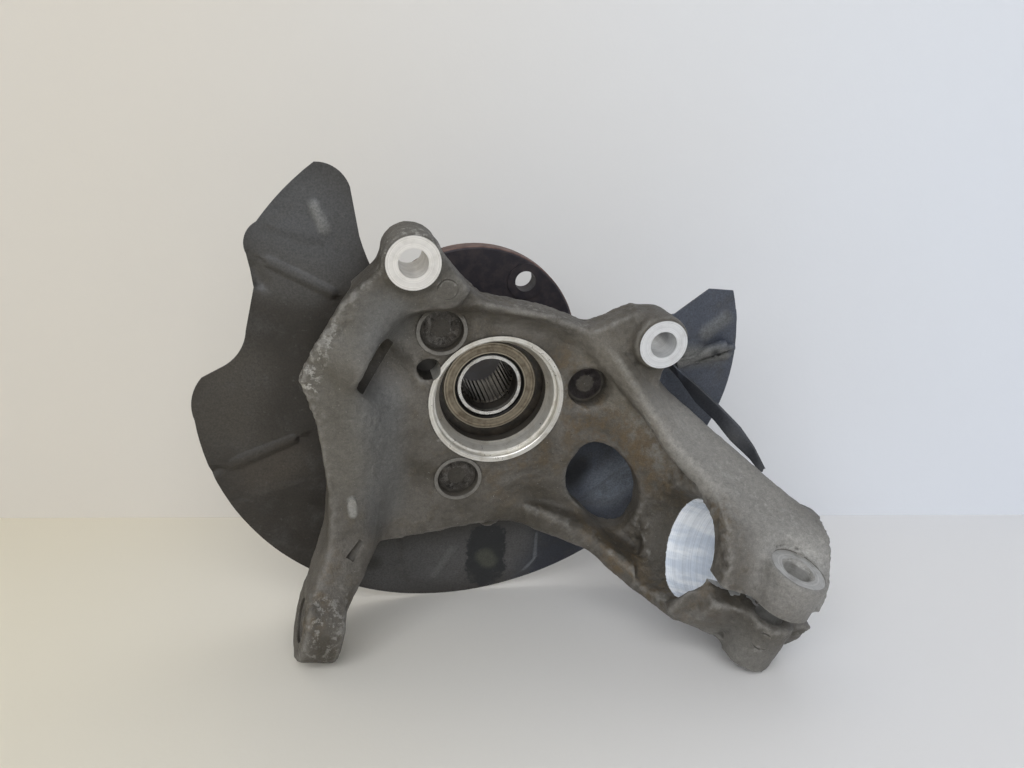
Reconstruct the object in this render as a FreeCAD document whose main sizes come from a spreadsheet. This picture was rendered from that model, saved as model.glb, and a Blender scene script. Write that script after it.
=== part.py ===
"""Front steering knuckle with its bolt-on wheel hub and brake dust shield, in millimetres.

Every piece is drawn in the hub's own axes: Y is the wheel axis and points outboard, Z is up in the
resting pose, and Y = 0 is the machined ring round the knuckle's bore. One common placement
then leans the whole assembly back on its three feet and puts the middle of the wheel seat at the origin.
"""
import FreeCAD
import Part
import Sketcher
import math
import os
import re
from FreeCAD import Placement, Rotation, Vector

doc = FreeCAD.newDocument("wheel_hub")
sheet = doc.addObject("Spreadsheet::Sheet", "Sizes")

SIZES = {
    # how the assembly rests on a flat surface
    "rest_lean": 14.26,
    "rest_roll": 0.09,
    # wheel hub: flange, pilot, spindle and splined bore
    "flange_radius": 68.2,
    "flange_face": 76.2,
    "flange_thickness": 10.8,
    "flange_edge": 1.5,
    "flange_root_radius": 33.0,
    "flange_root_reach": 4.0,
    "disc_pilot_radius": 32.4,
    "disc_pilot_length": 5.5,
    "wheel_pilot_radius": 28.5,
    "wheel_pilot_length": 9.5,
    "pilot_edge": 1.0,
    "nut_recess_radius": 19.5,
    "nut_recess_depth": 38.0,
    "wheel_bolt_circle": 56.0,
    "wheel_bolt_radius": 6.6,
    "wheel_bolt_count": 5,
    "wheel_bolt_angle": 55.1,
    "wheel_pad_radius": 11.5,
    "wheel_pad_height": 1.2,
    "disc_screw_circle": 50.0,
    "disc_screw_radius": 3.4,
    "spindle_radius": 19.4,
    "spindle_end": 21.6,
    "spindle_mouth_edge": 1.6,
    "spline_lead": 11.0,
    "shoulder_radius": 24.0,
    "spline_root_radius": 16.2,
    "spline_tip_radius": 14.9,
    "spline_count": 36,
    # double row ball bearing
    "ball_radius": 5.9,
    "ball_count": 13,
    "pitch_radius": 31.0,
    "inboard_row": 32.5,
    "outboard_row": 55.6,
    "race_clearance": 0.02,
    "race_cover": 2.2,
    "inner_ring_face": 20.4,
    "inner_ring_end": 41.0,
    "inner_land_step": 3.4,
    "outer_land_step": 3.6,
    "outer_ring_wall": 5.3,
    "outer_ring_start": 18.5,
    "outer_ring_end": 67.0,
    "outer_nose_step": 2.1,
    "cage_wall": 2.6,
    "cage_width": 11.0,
    "cage_lip": 2.2,
    "cage_pocket_gap": 0.25,
    "seal_width": 4.0,
    "seal_gap": 0.3,
    "encoder_thickness": 1.6,
    # three-lobed bearing flange and its bolts
    "bearing_seat": 36.0,
    "spigot_clearance": 0.05,
    "bearing_flange_thickness": 12.0,
    "bearing_flange_step": 5.1,
    "bearing_bolt_circle": 52.6,
    "bearing_bolt_angle": 126.5,
    "bearing_lobe_radius": 13.5,
    "bolt_shank_radius": 6.0,
    "bolt_hole_clearance": 0.4,
    "bolt_head_radius": 10.6,
    "bolt_head_height": 9.5,
    "bolt_washer_radius": 11.4,
    "bolt_washer_height": 1.8,
    "bolt_socket_radius": 5.6,
    "bolt_socket_depth": 6.5,
    "bolt_tip_reach": 3.0,
    "counterbore_radius": 12.1,
    "counterbore_depth": 15.5,
    # knuckle: web, machined bore and caliper ears
    "web_face": 0.8,
    "web_thickness": 13.0,
    "lip_height": 7.5,
    "ring_step_radius": 35.4,
    "ring_step_depth": 3.6,
    "bore_radius": 30.8,
    "bore_depth": 11.0,
    "seat_boss_radius": 48.0,
    "seat_lobe_radius": 15.0,
    "ear_face": -18.0,
    "ear_thickness": 30.0,
    "ear_radius": 15.8,
    "ear_draft": 1.2,
    "ear_face_radius": 13.7,
    "ear_hole_radius": 7.5,
    "front_ear_across": -48.4,
    "front_ear_height": 84.5,
    "rear_ear_across": 87.2,
    "rear_ear_height": 37.1,
    "shoulder_face": -14.5,
    "sensor_hole_radius": 6.2,
    "sensor_hole_across": -38.0,
    "sensor_hole_height": 20.0,
    # knuckle: ball joint boss on the left
    "ball_joint_across": -93.0,
    "ball_joint_depth": 3.0,
    "ball_joint_height": 41.0,
    "ball_joint_turn": 150.0,
    "ball_joint_lift": 14.0,
    "ball_joint_boss_radius": 19.0,
    "ball_joint_boss_length": 30.0,
    "ball_joint_small_radius": 7.6,
    "ball_joint_large_radius": 9.6,
    "nut_seat_radius": 15.0,
    "nut_pocket_length": 15.0,
    # knuckle: track rod lug, the left foot
    "lug_across": -112.3,
    "lug_depth": -33.0,
    "lug_height": -110.2,
    "lug_turn": 166.2,
    "lug_lean": -3.4,
    "lug_radius": 22.0,
    "lug_length": 21.5,
    "lug_small_radius": 7.0,
    "lug_large_radius": 8.6,
    "lug_recess_radius": 12.0,
    "lug_recess_depth": 2.0,
    # knuckle: split strut clamp
    "clamp_across": 99.0,
    "clamp_depth": -57.5,
    "clamp_height": -68.5,
    "clamp_turn": -16.8,
    "clamp_lean": -8.1,
    "clamp_roll": 7.8,
    "clamp_bore_radius": 27.6,
    "clamp_wall": 12.5,
    "clamp_length": 64.0,
    "clamp_mouth_reach": 17.0,
    "clamp_mouth_near": 6.0,
    "clamp_mouth_flare": 6.0,
    "slit_width": 5.0,
    "slit_rise": 5.5,
    "pinch_along": 40.0,
    "pinch_offset": 35.6,
    "pinch_hole_radius": 7.3,
    "pinch_face_radius": 16.2,
    "pinch_ear_radius": 17.0,
    "lower_ear_radius": 14.5,
    "upper_ear_length": 30.0,
    "lower_ear_length": 33.0,
    # knuckle: walls of the strut arm
    "arm_skin": 9.5,
    "cast_round": 4.0,
    "ejector_mark_radius": 5.0,
    # dust shield and its screws
    "shield_face": 28.8,
    "shield_sheet": 1.2,
    "shield_dish": 5.2,
    "dish_start_radius": 95.0,
    "dish_end_radius": 150.0,
    "shield_hole_radius": 70.0,
    "shield_radius": 155.0,
    "shield_screw_circle": 80.0,
    "shield_pad_radius": 9.0,
    "shield_pad_root": 8.0,
    "screw_shank_radius": 3.0,
    "screw_hole_clearance": 0.3,
    "screw_head_radius": 6.0,
    "screw_hex_radius": 5.6,
    "screw_head_height": 4.5,
    "screw_flange_height": 1.2,
    "screw_length": 14.0,
    "bead_radius": 9.0,
    "bead_height": 0.9,
    "clip_arm_radius": 4.0,
    "clip_pin_radius": 2.2,
    "clip_pin_length": 7.0,
}

for number, (alias, value) in enumerate(SIZES.items(), start=1):
    sheet.set("A%d" % number, alias.replace("_", " "))
    sheet.set("B%d" % number, str(value))
    sheet.setAlias("B%d" % number, alias)
doc.recompute()


def size(terms):
    """A driving dimension, or several added and taken away, read back from the sheet."""
    words = terms.split()
    total = float(sheet.get(words[0]))
    for sign, alias in zip(words[1::2], words[2::2]):
        total += float(sheet.get(alias)) * (1 if sign == "+" else -1)
    return total


def bound(expression):
    """The same expression with every dimension's name pointing at its cell."""
    return re.sub(r"[a-z]+(?:_[a-z]+)+", lambda found: "Sizes." + found.group(0), expression)


NODES = {}
WHEEL_SEAT = size("flange_face") + size("flange_thickness")
REST = (Placement(Vector(0, 0, 0), Rotation(Vector(0, 1, 0), size("rest_roll")))
        * Placement(Vector(0, 0, 0), Rotation(Vector(1, 0, 0), size("rest_lean")))
        * Placement(Vector(0, -WHEEL_SEAT, 0), Rotation()))
AXIS = Vector(0, 1, 0)

# The bearing's radii follow from its pitch radius: lands either side of the balls, then the ring's wall.
inner_land = "pitch_radius - inner_land_step"
outer_land = "pitch_radius + outer_land_step"
spigot = outer_land + " + outer_ring_wall"
bearing_nose = spigot + " + outer_nose_step"
bearing_flange = spigot + " + bearing_flange_step"


def keep(name, obj):
    """Name a finished sub-part and set it down in the common resting frame."""
    obj.Label = name
    obj.Placement = REST
    NODES[name] = obj
    return obj


def keep_shape(name, shape):
    """A sub-part whose shape is worked out below from the sheet's values."""
    obj = doc.addObject("Part::Feature", name + "_shape")
    obj.Shape = shape
    return keep(name, obj)


def polar(radius, degrees, depth):
    """A point at a radius and an angle round the wheel axis."""
    angle = math.radians(degrees)
    return Vector(radius * math.cos(angle), depth, radius * math.sin(angle))


def origin_plane(body, role):
    return next(f for f in body.Origin.OriginFeatures if f.Role == role)


def profile_sketch(body, name, points):
    """A closed outline on the XY plane: each corner is a pair of expressions, radius and depth."""
    sketch = body.newObject("Sketcher::SketchObject", name)
    sketch.AttachmentSupport = (origin_plane(body, "XY_Plane"), [""])
    sketch.MapMode = "FlatFace"
    count = len(points)
    turns = [2 * math.pi * i / count for i in range(count)]
    start = [Vector(20 + 10 * math.cos(turn), 50 + 10 * math.sin(turn), 0) for turn in turns]
    for i in range(count):
        sketch.addGeometry(Part.LineSegment(start[i], start[(i + 1) % count]), False)
    for i in range(count):
        sketch.addConstraint(Sketcher.Constraint("Coincident", i, 2, (i + 1) % count, 1))
    for i, (radius, depth) in enumerate(points):
        for kind, expression in (("DistanceX", radius), ("DistanceY", depth)):
            if expression == "0":
                line_index = -2 if kind == "DistanceX" else -1
                sketch.addConstraint(Sketcher.Constraint("PointOnObject", i, 1, line_index))
                continue
            place = sketch.addConstraint(Sketcher.Constraint(kind, -1, 1, i, 1, 10.0))
            sketch.setExpression("Constraints[%d]" % place, bound(expression))
    return sketch


def turned_body(name, points):
    """A body turned about the wheel axis from one profile."""
    body = doc.addObject("PartDesign::Body", name + "_body")
    sketch = profile_sketch(body, name + "_profile", points)
    revolution = body.newObject("PartDesign::Revolution", name + "_turned")
    revolution.Profile = sketch
    revolution.ReferenceAxis = (sketch, ["V_Axis"])
    revolution.Angle = 360
    doc.recompute()
    return body


def rod(radius, length, base, direction):
    return Part.makeCylinder(radius, length, base, direction)


def ring_of(shape, count, first=0.0):
    """Copies of one solid, evenly spaced round the wheel axis."""
    copies = []
    for i in range(count):
        copy = shape.copy()
        copy.rotate(Vector(0, 0, 0), AXIS, -(first + 360.0 * i / count))
        copies.append(copy)
    return copies


def prism(corners, start, end):
    """A flat outline across the wheel axis, run from one depth to another."""
    wire = Part.makePolygon([Vector(x, start, z) for x, z in list(corners) + [corners[0]]])
    return Part.Face(wire).extrude(Vector(0, end - start, 0))


def flattened(corners):
    """The corners moved onto the plane that lies evenly between them, so that they close a flat face."""
    middle = sum(corners, Vector()) * (1.0 / len(corners))
    normal = (corners[2] - corners[0]).cross(corners[3] - corners[1]).normalize()
    return [corner - normal * (corner - middle).dot(normal) for corner in corners]


def rounded_section(corners, radius):
    """A closed flat section through four or more corners, each one rounded off."""
    edges = []
    ends = []
    corners = flattened(corners)
    for i, corner in enumerate(corners):
        before = corners[i - 1] - corner
        after = corners[(i + 1) % len(corners)] - corner
        reach = min(radius, 0.4 * before.Length, 0.4 * after.Length)
        first = corner + before.normalize() * reach
        last = corner + after.normalize() * reach
        middle = corner + ((first + last) * 0.5 - corner) * 0.586
        ends.append((first, middle, last))
    for i, (first, middle, last) in enumerate(ends):
        edges.append(Part.Arc(first, middle, last).toShape())
        edges.append(Part.LineSegment(last, ends[(i + 1) % len(ends)][0]).toShape())
    return Part.Wire(edges)


def cast_wall(*sections):
    """A cast rib or wall through a row of sections with rounded corners."""
    wires = [rounded_section(section, size("cast_round")) for section in sections]
    runs = [Part.makeLoft([wires[i], wires[i + 1]], True, True) for i in range(len(wires) - 1)]
    return runs[0].fuse(runs[1:]) if len(runs) > 1 else runs[0]


# Wheel hub: one forging with flange, pilots, outboard race and splined bore.
flange_back = "flange_face + flange_thickness"
hub_bore = "spline_tip_radius"
hub_points = [
    (hub_bore, "spindle_end + spline_lead + spindle_mouth_edge"),
    ("spline_root_radius", "spindle_end + spline_lead"),
    ("spline_root_radius + seal_gap * 2", "spindle_end"),
    ("spindle_radius - flange_edge / 2", "spindle_end"),
    ("spindle_radius", "spindle_end + flange_edge / 2"),
    ("spindle_radius", "inner_ring_end"),
    ("shoulder_radius", "inner_ring_end"),
    ("shoulder_radius", "outboard_row - ball_radius - race_cover / 2"),
    (inner_land, "outboard_row + race_cover"),
    (inner_land, "outer_ring_end - seal_width"),
    ("flange_root_radius - flange_root_reach", "outer_ring_end + seal_gap"),
    ("flange_root_radius", "flange_face - flange_root_reach"),
    ("flange_root_radius + flange_root_reach", "flange_face"),
    ("flange_radius - flange_edge", "flange_face"),
    ("flange_radius", "flange_face + flange_edge"),
    ("flange_radius", flange_back + " - flange_edge"),
    ("flange_radius - flange_edge", flange_back),
    ("disc_pilot_radius", flange_back),
    ("disc_pilot_radius", flange_back + " + disc_pilot_length"),
    ("wheel_pilot_radius", flange_back + " + disc_pilot_length"),
    ("wheel_pilot_radius", flange_back + " + disc_pilot_length + wheel_pilot_length - pilot_edge"),
    ("wheel_pilot_radius - pilot_edge", flange_back + " + disc_pilot_length + wheel_pilot_length"),
    ("nut_recess_radius + pilot_edge * 2", flange_back + " + disc_pilot_length + wheel_pilot_length"),
    ("nut_recess_radius", flange_back + " + disc_pilot_length + wheel_pilot_length - pilot_edge * 2"),
    ("nut_recess_radius", flange_back + " + disc_pilot_length + wheel_pilot_length - nut_recess_depth"),
    (hub_bore, flange_back + " + disc_pilot_length + wheel_pilot_length - nut_recess_depth"),
]
hub_blank = turned_body("hub_blank", hub_points)
doc.recompute()

flange_face = size("flange_face")
flange_end = WHEEL_SEAT
bore_end = flange_end + size("disc_pilot_length") + size("wheel_pilot_length") - size("nut_recess_depth")


def race_ring(depth):
    """The ring swept by the balls of one row, with the race's clearance."""
    return Part.makeTorus(size("pitch_radius"), size("ball_radius") + size("race_clearance"),
                          Vector(0, depth, 0), AXIS)


def spline_groove():
    """One V groove between two spline teeth, the full length of the bore."""
    half = math.pi * size("spline_tip_radius") / size("spline_count") * 0.7
    inner = size("spline_tip_radius") - 1.0
    root = size("spline_root_radius")
    start = size("spindle_end") + size("spline_lead")
    corners = [(inner, -half), (root, -half * 0.3), (root, half * 0.3), (inner, half)]
    return prism(corners, start, bore_end + 1.0)


wheel_bolt_hole = rod(size("wheel_bolt_radius"), size("flange_thickness") + 4.0,
                      Vector(size("wheel_bolt_circle"), flange_face - 2.0, 0), AXIS)
wheel_pad = rod(size("wheel_pad_radius"), size("wheel_pad_height"),
                Vector(size("wheel_bolt_circle"), flange_face - size("wheel_pad_height"), 0), AXIS)
disc_screw_hole = rod(size("disc_screw_radius"), size("flange_thickness") + 4.0,
                      polar(size("disc_screw_circle"), size("wheel_bolt_angle") + 180.0, flange_face - 2.0), AXIS)
bolt_count = int(size("wheel_bolt_count"))
hub_shape = hub_blank.Shape.fuse(ring_of(wheel_pad, bolt_count, size("wheel_bolt_angle")))
hub_shape = hub_shape.cut(ring_of(wheel_bolt_hole, bolt_count, size("wheel_bolt_angle")) + [disc_screw_hole])
hub_shape = hub_shape.cut([race_ring(size("outboard_row"))]
                          + ring_of(spline_groove(), int(size("spline_count"))))
keep_shape("hub", hub_shape)

# Inner ring: pressed on the spindle against the hub's shoulder, carries the inboard row.
inner_ring_blank = turned_body("inner_ring_blank", [
    ("spindle_radius", "inner_ring_face + flange_edge / 2"),
    ("spindle_radius + flange_edge / 2", "inner_ring_face"),
    (inner_land + " - flange_edge / 2", "inner_ring_face"),
    (inner_land, "inner_ring_face + flange_edge / 2"),
    (inner_land, "inboard_row - race_cover"),
    ("shoulder_radius", "inboard_row + ball_radius + race_cover / 2"),
    ("shoulder_radius", "inner_ring_end"),
    ("spindle_radius", "inner_ring_end"),
])
keep_shape("bearing_inner_ring", inner_ring_blank.Shape.cut(race_ring(size("inboard_row"))))

# Outer ring: spigot, three-lobed flange with threaded holes, nose and the two outer races.
outer_ring_blank = turned_body("outer_ring_blank", [
    (outer_land, "outer_ring_start"),
    (spigot + " - flange_edge", "outer_ring_start"),
    (spigot, "outer_ring_start + flange_edge"),
    (spigot, "bearing_seat"),
    (bearing_flange, "bearing_seat"),
    (bearing_flange, "bearing_seat + bearing_flange_thickness"),
    (bearing_nose, "bearing_seat + bearing_flange_thickness + race_cover"),
    (bearing_nose, "outer_ring_end - flange_edge"),
    (bearing_nose + " - flange_edge", "outer_ring_end"),
    (outer_land, "outer_ring_end"),
])
seat = size("bearing_seat")
flange_depth = size("bearing_flange_thickness")


def lobe(radius, start, end):
    """One lobe reaching from the ring out and round a bearing bolt."""
    reach = size("bearing_bolt_circle")
    root = size(spigot) - size("flange_edge")
    waist = math.sqrt(size(bearing_flange) ** 2 - root ** 2) + 4.0
    web = prism([(root, -waist), (reach, -radius), (reach, radius), (root, waist)], start, end)
    return web.fuse(rod(radius, end - start, Vector(reach, start, 0), AXIS))


threaded_hole = rod(size("bolt_shank_radius"), flange_depth + 4.0,
                    Vector(size("bearing_bolt_circle"), seat - 2.0, 0), AXIS)
outer_ring = outer_ring_blank.Shape.fuse(
    ring_of(lobe(size("bearing_lobe_radius"), seat, seat + flange_depth), 3, size("bearing_bolt_angle")))
outer_ring = outer_ring.cut(ring_of(threaded_hole, 3, size("bearing_bolt_angle"))
                            + [race_ring(size("inboard_row")), race_ring(size("outboard_row"))])
keep_shape("bearing_outer_ring", outer_ring)

# Two rows of balls, each in a cage that turns with it.
for row in ("inboard", "outboard"):
    depth = size(row + "_row")
    ball = Part.makeSphere(size("ball_radius"), Vector(size("pitch_radius"), depth, 0))
    count = int(size("ball_count"))
    keep_shape("balls_" + row, Part.makeCompound(ring_of(ball, count)))
    middle = size("pitch_radius")
    wall = size("cage_wall")
    near = depth - size("cage_lip") if row == "inboard" else depth + size("cage_lip") - size("cage_width")
    band = rod(middle + wall / 2, size("cage_width"), Vector(0, near, 0), AXIS).cut(
        rod(middle - wall / 2, size("cage_width"), Vector(0, near, 0), AXIS))
    pocket = rod(size("ball_radius") + size("cage_pocket_gap"), 2 * wall + 6.0,
                 Vector(middle - wall - 3.0, depth, 0), Vector(1, 0, 0))
    keep_shape("cage_" + row, band.cut(ring_of(pocket, count)))

# Seals: rubber-lipped rings in the outer ring, and the magnetic encoder on the inner ring.
seal_inner = inner_land + " + seal_gap"
seal_outer = outer_land
inboard_seal = turned_body("inboard_seal", [
    (seal_inner + " + seal_gap", "inner_ring_face + encoder_thickness + seal_gap"),
    (seal_outer, "inner_ring_face + encoder_thickness + seal_gap"),
    (seal_outer, "inner_ring_face + encoder_thickness + seal_width"),
    (seal_inner, "inner_ring_face + encoder_thickness + seal_width"),
    (seal_inner, "inner_ring_face + encoder_thickness + seal_width / 2"),
])
keep("seal_inboard", inboard_seal)
encoder = turned_body("encoder", [
    (inner_land, "inner_ring_face + flange_edge / 2"),
    (outer_land + " - seal_gap * 2", "inner_ring_face + flange_edge / 2"),
    (outer_land + " - seal_gap * 2", "inner_ring_face + encoder_thickness"),
    (inner_land, "inner_ring_face + encoder_thickness"),
])
keep("encoder_ring", encoder)
outboard_seal = turned_body("outboard_seal", [
    (seal_outer, "outer_ring_end - seal_width"),
    (seal_inner, "outer_ring_end - seal_width"),
    (seal_inner, "outer_ring_end - seal_width - seal_gap"),
    (inner_land + " + seal_gap + flange_edge", "outer_ring_end - seal_width - seal_gap * 4"),
    (seal_outer, "outer_ring_end - seal_width - seal_gap * 4"),
])
keep("seal_outboard", outboard_seal)

# Bearing bolts: from the inboard side through the knuckle into the bearing flange.
head_seat = size("web_face") + size("counterbore_depth")


def star_socket(radius, depth, points):
    """The many-pointed wrench socket in a bolt head, open at its inboard end."""
    corners = []
    for i in range(2 * points):
        reach = radius if i % 2 == 0 else radius * 0.86
        angle = math.pi * i / points
        corners.append((reach * math.cos(angle), reach * math.sin(angle)))
    return prism(corners, -1.0, depth)


def bearing_bolt():
    """One socket-head bolt along the wheel axis, its head's top at depth zero."""
    top = size("bolt_head_height")
    head = rod(size("bolt_head_radius"), top, Vector(0, 0, 0), AXIS)
    rim = [edge for edge in head.Edges if abs(edge.CenterOfMass.y) < 0.01]
    head = head.makeChamfer(0.8, rim)
    washer = rod(size("bolt_washer_radius"), size("bolt_washer_height"), Vector(0, top, 0), AXIS)
    under = top + size("bolt_washer_height")
    tip = seat + flange_depth + size("bolt_tip_reach") - (head_seat - under)
    shank = rod(size("bolt_shank_radius"), tip - under, Vector(0, under, 0), AXIS)
    return head.fuse([washer, shank]).cut(star_socket(size("bolt_socket_radius"), size("bolt_socket_depth"), 12))


one_bolt = bearing_bolt()
one_bolt.translate(Vector(size("bearing_bolt_circle"),
                          head_seat - size("bolt_head_height") - size("bolt_washer_height"), 0))
keep_shape("bearing_bolts", Part.makeCompound(ring_of(one_bolt, 3, size("bearing_bolt_angle"))))

# Knuckle casting: web plate, raised lip, ears, left shoulder with ball joint boss and track rod lug.
shield_screw_angles = (194, 8, 270)
web_face = size("web_face")
web_back = web_face + size("web_thickness")
lip_face = web_face - size("lip_height")
shoulder = size("shoulder_face")
front_ear = Vector(size("front_ear_across"), size("ear_face"), size("front_ear_height"))
rear_ear = Vector(size("rear_ear_across"), size("ear_face"), size("rear_ear_height"))


def direction(turn, lean):
    """A unit vector from its angle in the wheel plane and its lean along the wheel axis."""
    turn = math.radians(turn)
    lean = math.radians(lean)
    return Vector(math.cos(lean) * math.cos(turn), math.sin(lean), math.cos(lean) * math.sin(turn))


def ear(centre):
    """A caliper ear: a drafted boss round the bolt, with its machined face inboard."""
    length = size("ear_thickness")
    boss = Part.makeCone(size("ear_radius"), size("ear_radius") - size("ear_draft"), length - 1.0,
                         centre + AXIS, AXIS)
    return boss.fuse(rod(size("ear_face_radius"), 2.0, centre, AXIS))


clamp_axis = direction(size("clamp_turn"), size("clamp_lean"))
clamp_mouth = Vector(size("clamp_across"), size("clamp_depth"), size("clamp_height"))
slit_way = Vector(0, -1, 0) - clamp_axis * (-clamp_axis.y)
slit_way.normalize()
slit_way = Rotation(clamp_axis, size("clamp_roll")).multVec(slit_way)
bolt_way = clamp_axis.cross(slit_way)
if bolt_way.z < 0:
    bolt_way = bolt_way * -1


def at_clamp(along, out, up):
    """A point in the clamp's own axes: along its bore, out through the slit, up the pinch bolt."""
    return clamp_mouth + clamp_axis * along + slit_way * out + bolt_way * up


clamp_radius = size("clamp_bore_radius") + size("clamp_wall")
clamp_length = size("clamp_length")
web_outline = [
    (-66, 60), (-48, 58), (-17, 66), (-9, 60), (10, 56), (27, 52), (43, 45.5), (51, 42), (72, 36), (84, 14),
    (78, -8), (62, -22), (48, -40), (44, -62), (30, -84), (18, -84), (2, -81.5), (-18, -82), (-44, -86),
    (-66, -88), (-86, -70), (-84, -20), (-92, 20), (-84, 50),
]
web = prism(web_outline, web_face, web_back)

lip_outline = [(-30, 72), (-17, 66.5), (-9, 60), (10, 56), (27, 52), (43, 45.5), (52, 42)]
lip_inner = [(49, 37), (40, 40), (25, 46.5), (9, 50.5), (-9, 54.5), (-30, 58)]
lip = prism(lip_outline + lip_inner, lip_face, web_back)

# The left shoulder stands proud of the web; its outer side is steep and its inner side slopes down to the web.
shoulder_outer = [
    (-18, 68), (-27, 79), (-37, 92), (-60, 90), (-65, 80), (-74, 71), (-83.5, 63), (-106, 23), (-103, 14),
    (-98.5, 0), (-96, -24), (-94, -46),
]
shoulder_crest = [(-76, -52), (-74, -20), (-73, 8), (-64, 44), (-58, 53), (-47, 58), (-26, 60)]
shoulder_foot = [(-50, -56), (-49, -20), (-56, 5), (-58, 40), (-53, 49), (-44, 53), (-22, 55)]


def outline_at(corners, depth):
    return Part.makePolygon([Vector(x, depth, z) for x, z in corners + corners[:1]])


left_shoulder = Part.makeLoft([outline_at(shoulder_outer + shoulder_crest, shoulder),
                               outline_at(shoulder_outer + shoulder_foot, web_face + 1.0)], True, True)
left_shoulder = left_shoulder.fuse(prism(shoulder_outer + shoulder_foot, web_face + 0.5, web_back - 1.5))

ejector_mark = rod(size("ejector_mark_radius"), 6.0, Vector(-29, shoulder - 0.8, 71), AXIS)

ball_joint_way = direction(size("ball_joint_turn"), size("ball_joint_lift"))
ball_joint_seat = Vector(size("ball_joint_across"), size("ball_joint_depth"), size("ball_joint_height"))
ball_joint_boss = rod(size("ball_joint_boss_radius"), size("ball_joint_boss_length"),
                      ball_joint_seat, ball_joint_way * -1)

lug_way = direction(size("lug_turn"), size("lug_lean"))
lug_face = Vector(size("lug_across"), size("lug_depth"), size("lug_height"))
lug = rod(size("lug_radius"), size("lug_length"), lug_face, lug_way * -1)
lug_middle = lug_face - lug_way * (size("lug_length") / 2)
lug_half = size("lug_length") / 2
lug_reach = size("lug_radius") * 0.82
lug_arm = cast_wall(
    [Vector(-94, shoulder, -40), Vector(-94, web_back - 2, -34), Vector(-50, web_back - 2, -34),
     Vector(-76, shoulder, -40)],
    [Vector(-95, -27, -69), Vector(-97, 4, -66), Vector(-62, 8, -84), Vector(-71, -22, -80)],
    [lug_middle + lug_way * lug_half + Vector(1, -lug_reach, 8),
     lug_middle + lug_way * lug_half + Vector(1, lug_reach, 8),
     lug_middle - lug_way * lug_half + Vector(-1, lug_reach, 4),
     lug_middle - lug_way * lug_half + Vector(-1, -lug_reach, 4)],
)

seat_boss = rod(size("seat_boss_radius"), seat - web_face, Vector(0, web_face, 0), AXIS)
seat_lobes = ring_of(lobe(size("seat_lobe_radius"), web_face, seat), 3, size("bearing_bolt_angle"))
shield_pads = [rod(size("shield_pad_radius"), size("shield_face") - size("shield_pad_root"),
                   polar(size("shield_screw_circle"), angle, size("shield_pad_root")), AXIS)
               for angle in shield_screw_angles]

# Strut arm: an upper wall from the rear ear to the clamp, a lower wall, and the split clamp itself.
skin = Vector(-2.0, 3.5, -size("arm_skin"))
upper_wall = cast_wall(
    [Vector(42, lip_face, 46), Vector(50, web_back, 42), Vector(50, web_back, 42) + skin,
     Vector(44, lip_face, 45) + skin],
    [Vector(62, -14, 32), Vector(90, 10, 20), Vector(84, 12, 2), Vector(60, -10, 16)],
    [Vector(77, -26, 9), Vector(102, 0, 3), Vector(102, 0, 3) + skin, Vector(75, -23, -2)],
    [Vector(88, -39, -9), Vector(117, -17, -8), Vector(117, -17, -8) + skin, Vector(86, -36, -20)],
    [Vector(101, -60, -22), Vector(133, -36, -20), Vector(133, -36, -20) + skin, Vector(99, -56, -34)],
    [at_clamp(30, 22, 34), Vector(150, -56, -33), Vector(150, -56, -33) + skin, at_clamp(30, 20, 24)],
    [at_clamp(clamp_length, 20, 32), at_clamp(clamp_length, -4, clamp_radius),
     at_clamp(clamp_length, -8, clamp_radius - 9), at_clamp(clamp_length, 18, 24)],
)
rear_gusset = prism([(48, 38), (50, 43), (61, 47.5), (75, 53), (90, 51), (98, 30), (92, 8), (70, 22)], -9, 10)
lower_wall = cast_wall(
    [Vector(8, web_face, -62), Vector(8, web_face, -80), Vector(10, web_back, -81), Vector(10, web_back, -64)],
    [Vector(50, -22, -74), Vector(50, -26, -88), Vector(60, 6, -93), Vector(60, 6, -78)],
    [Vector(70, -45, -87), Vector(74, -50, -102), Vector(86, -12, -105), Vector(86, -12, -90)],
    [at_clamp(2, 20, -26), at_clamp(4, 20, -38), at_clamp(4, -24, -40), at_clamp(2, -26, -26)],
)
trough_floor = cast_wall(
    [Vector(30, web_face, 46), Vector(30, web_back, 46), Vector(30, web_back, -80), Vector(30, web_face, -80)],
    [Vector(60, -4, 30), Vector(62, 9, 28), Vector(60, 8, -90), Vector(58, -6, -90)],
    [Vector(92, -26, -4), Vector(96, -13, -6), Vector(94, -13, -104), Vector(90, -26, -104)],
    [Vector(112, -38, -22), Vector(115, -24, -24), Vector(112, -22, -98), Vector(109, -36, -98)],
)
window_outline = [(43, -47), (54, -27.5), (69.5, -29), (82, -45.5), (84, -66), (78, -82), (65.5, -84), (45, -63)]
window_corners = [Vector(x, -60, z) for x, z in window_outline]
window = Part.Face(rounded_section(window_corners, 7.0)).extrude(Vector(0, 100, 0))
clamp_ring = rod(clamp_radius, clamp_length + size("clamp_mouth_reach"),
                 at_clamp(-size("clamp_mouth_reach"), 0, 0), clamp_axis)
mouth_middle = size("clamp_mouth_near") / 2 - size("clamp_mouth_reach") / 2
mouth_slope = (size("clamp_mouth_near") + size("clamp_mouth_reach")) / (2 * clamp_radius)
clamp_ring = clamp_ring.cut(rod(2 * clamp_radius, clamp_length, at_clamp(mouth_middle, 0, 0),
                                slit_way * mouth_slope - clamp_axis))


def ear_block(radius, low, high):
    """The flat cheek between the ring and an ear's boss."""
    along = size("pinch_along")
    corners = [at_clamp(along - radius, 8, low), at_clamp(along - radius, size("pinch_offset"), low),
               at_clamp(along + radius, size("pinch_offset"), low), at_clamp(along + radius, 8, low)]
    face = Part.Face(Part.makePolygon(corners + [corners[0]]))
    return face.extrude(bolt_way * (high - low))


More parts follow.
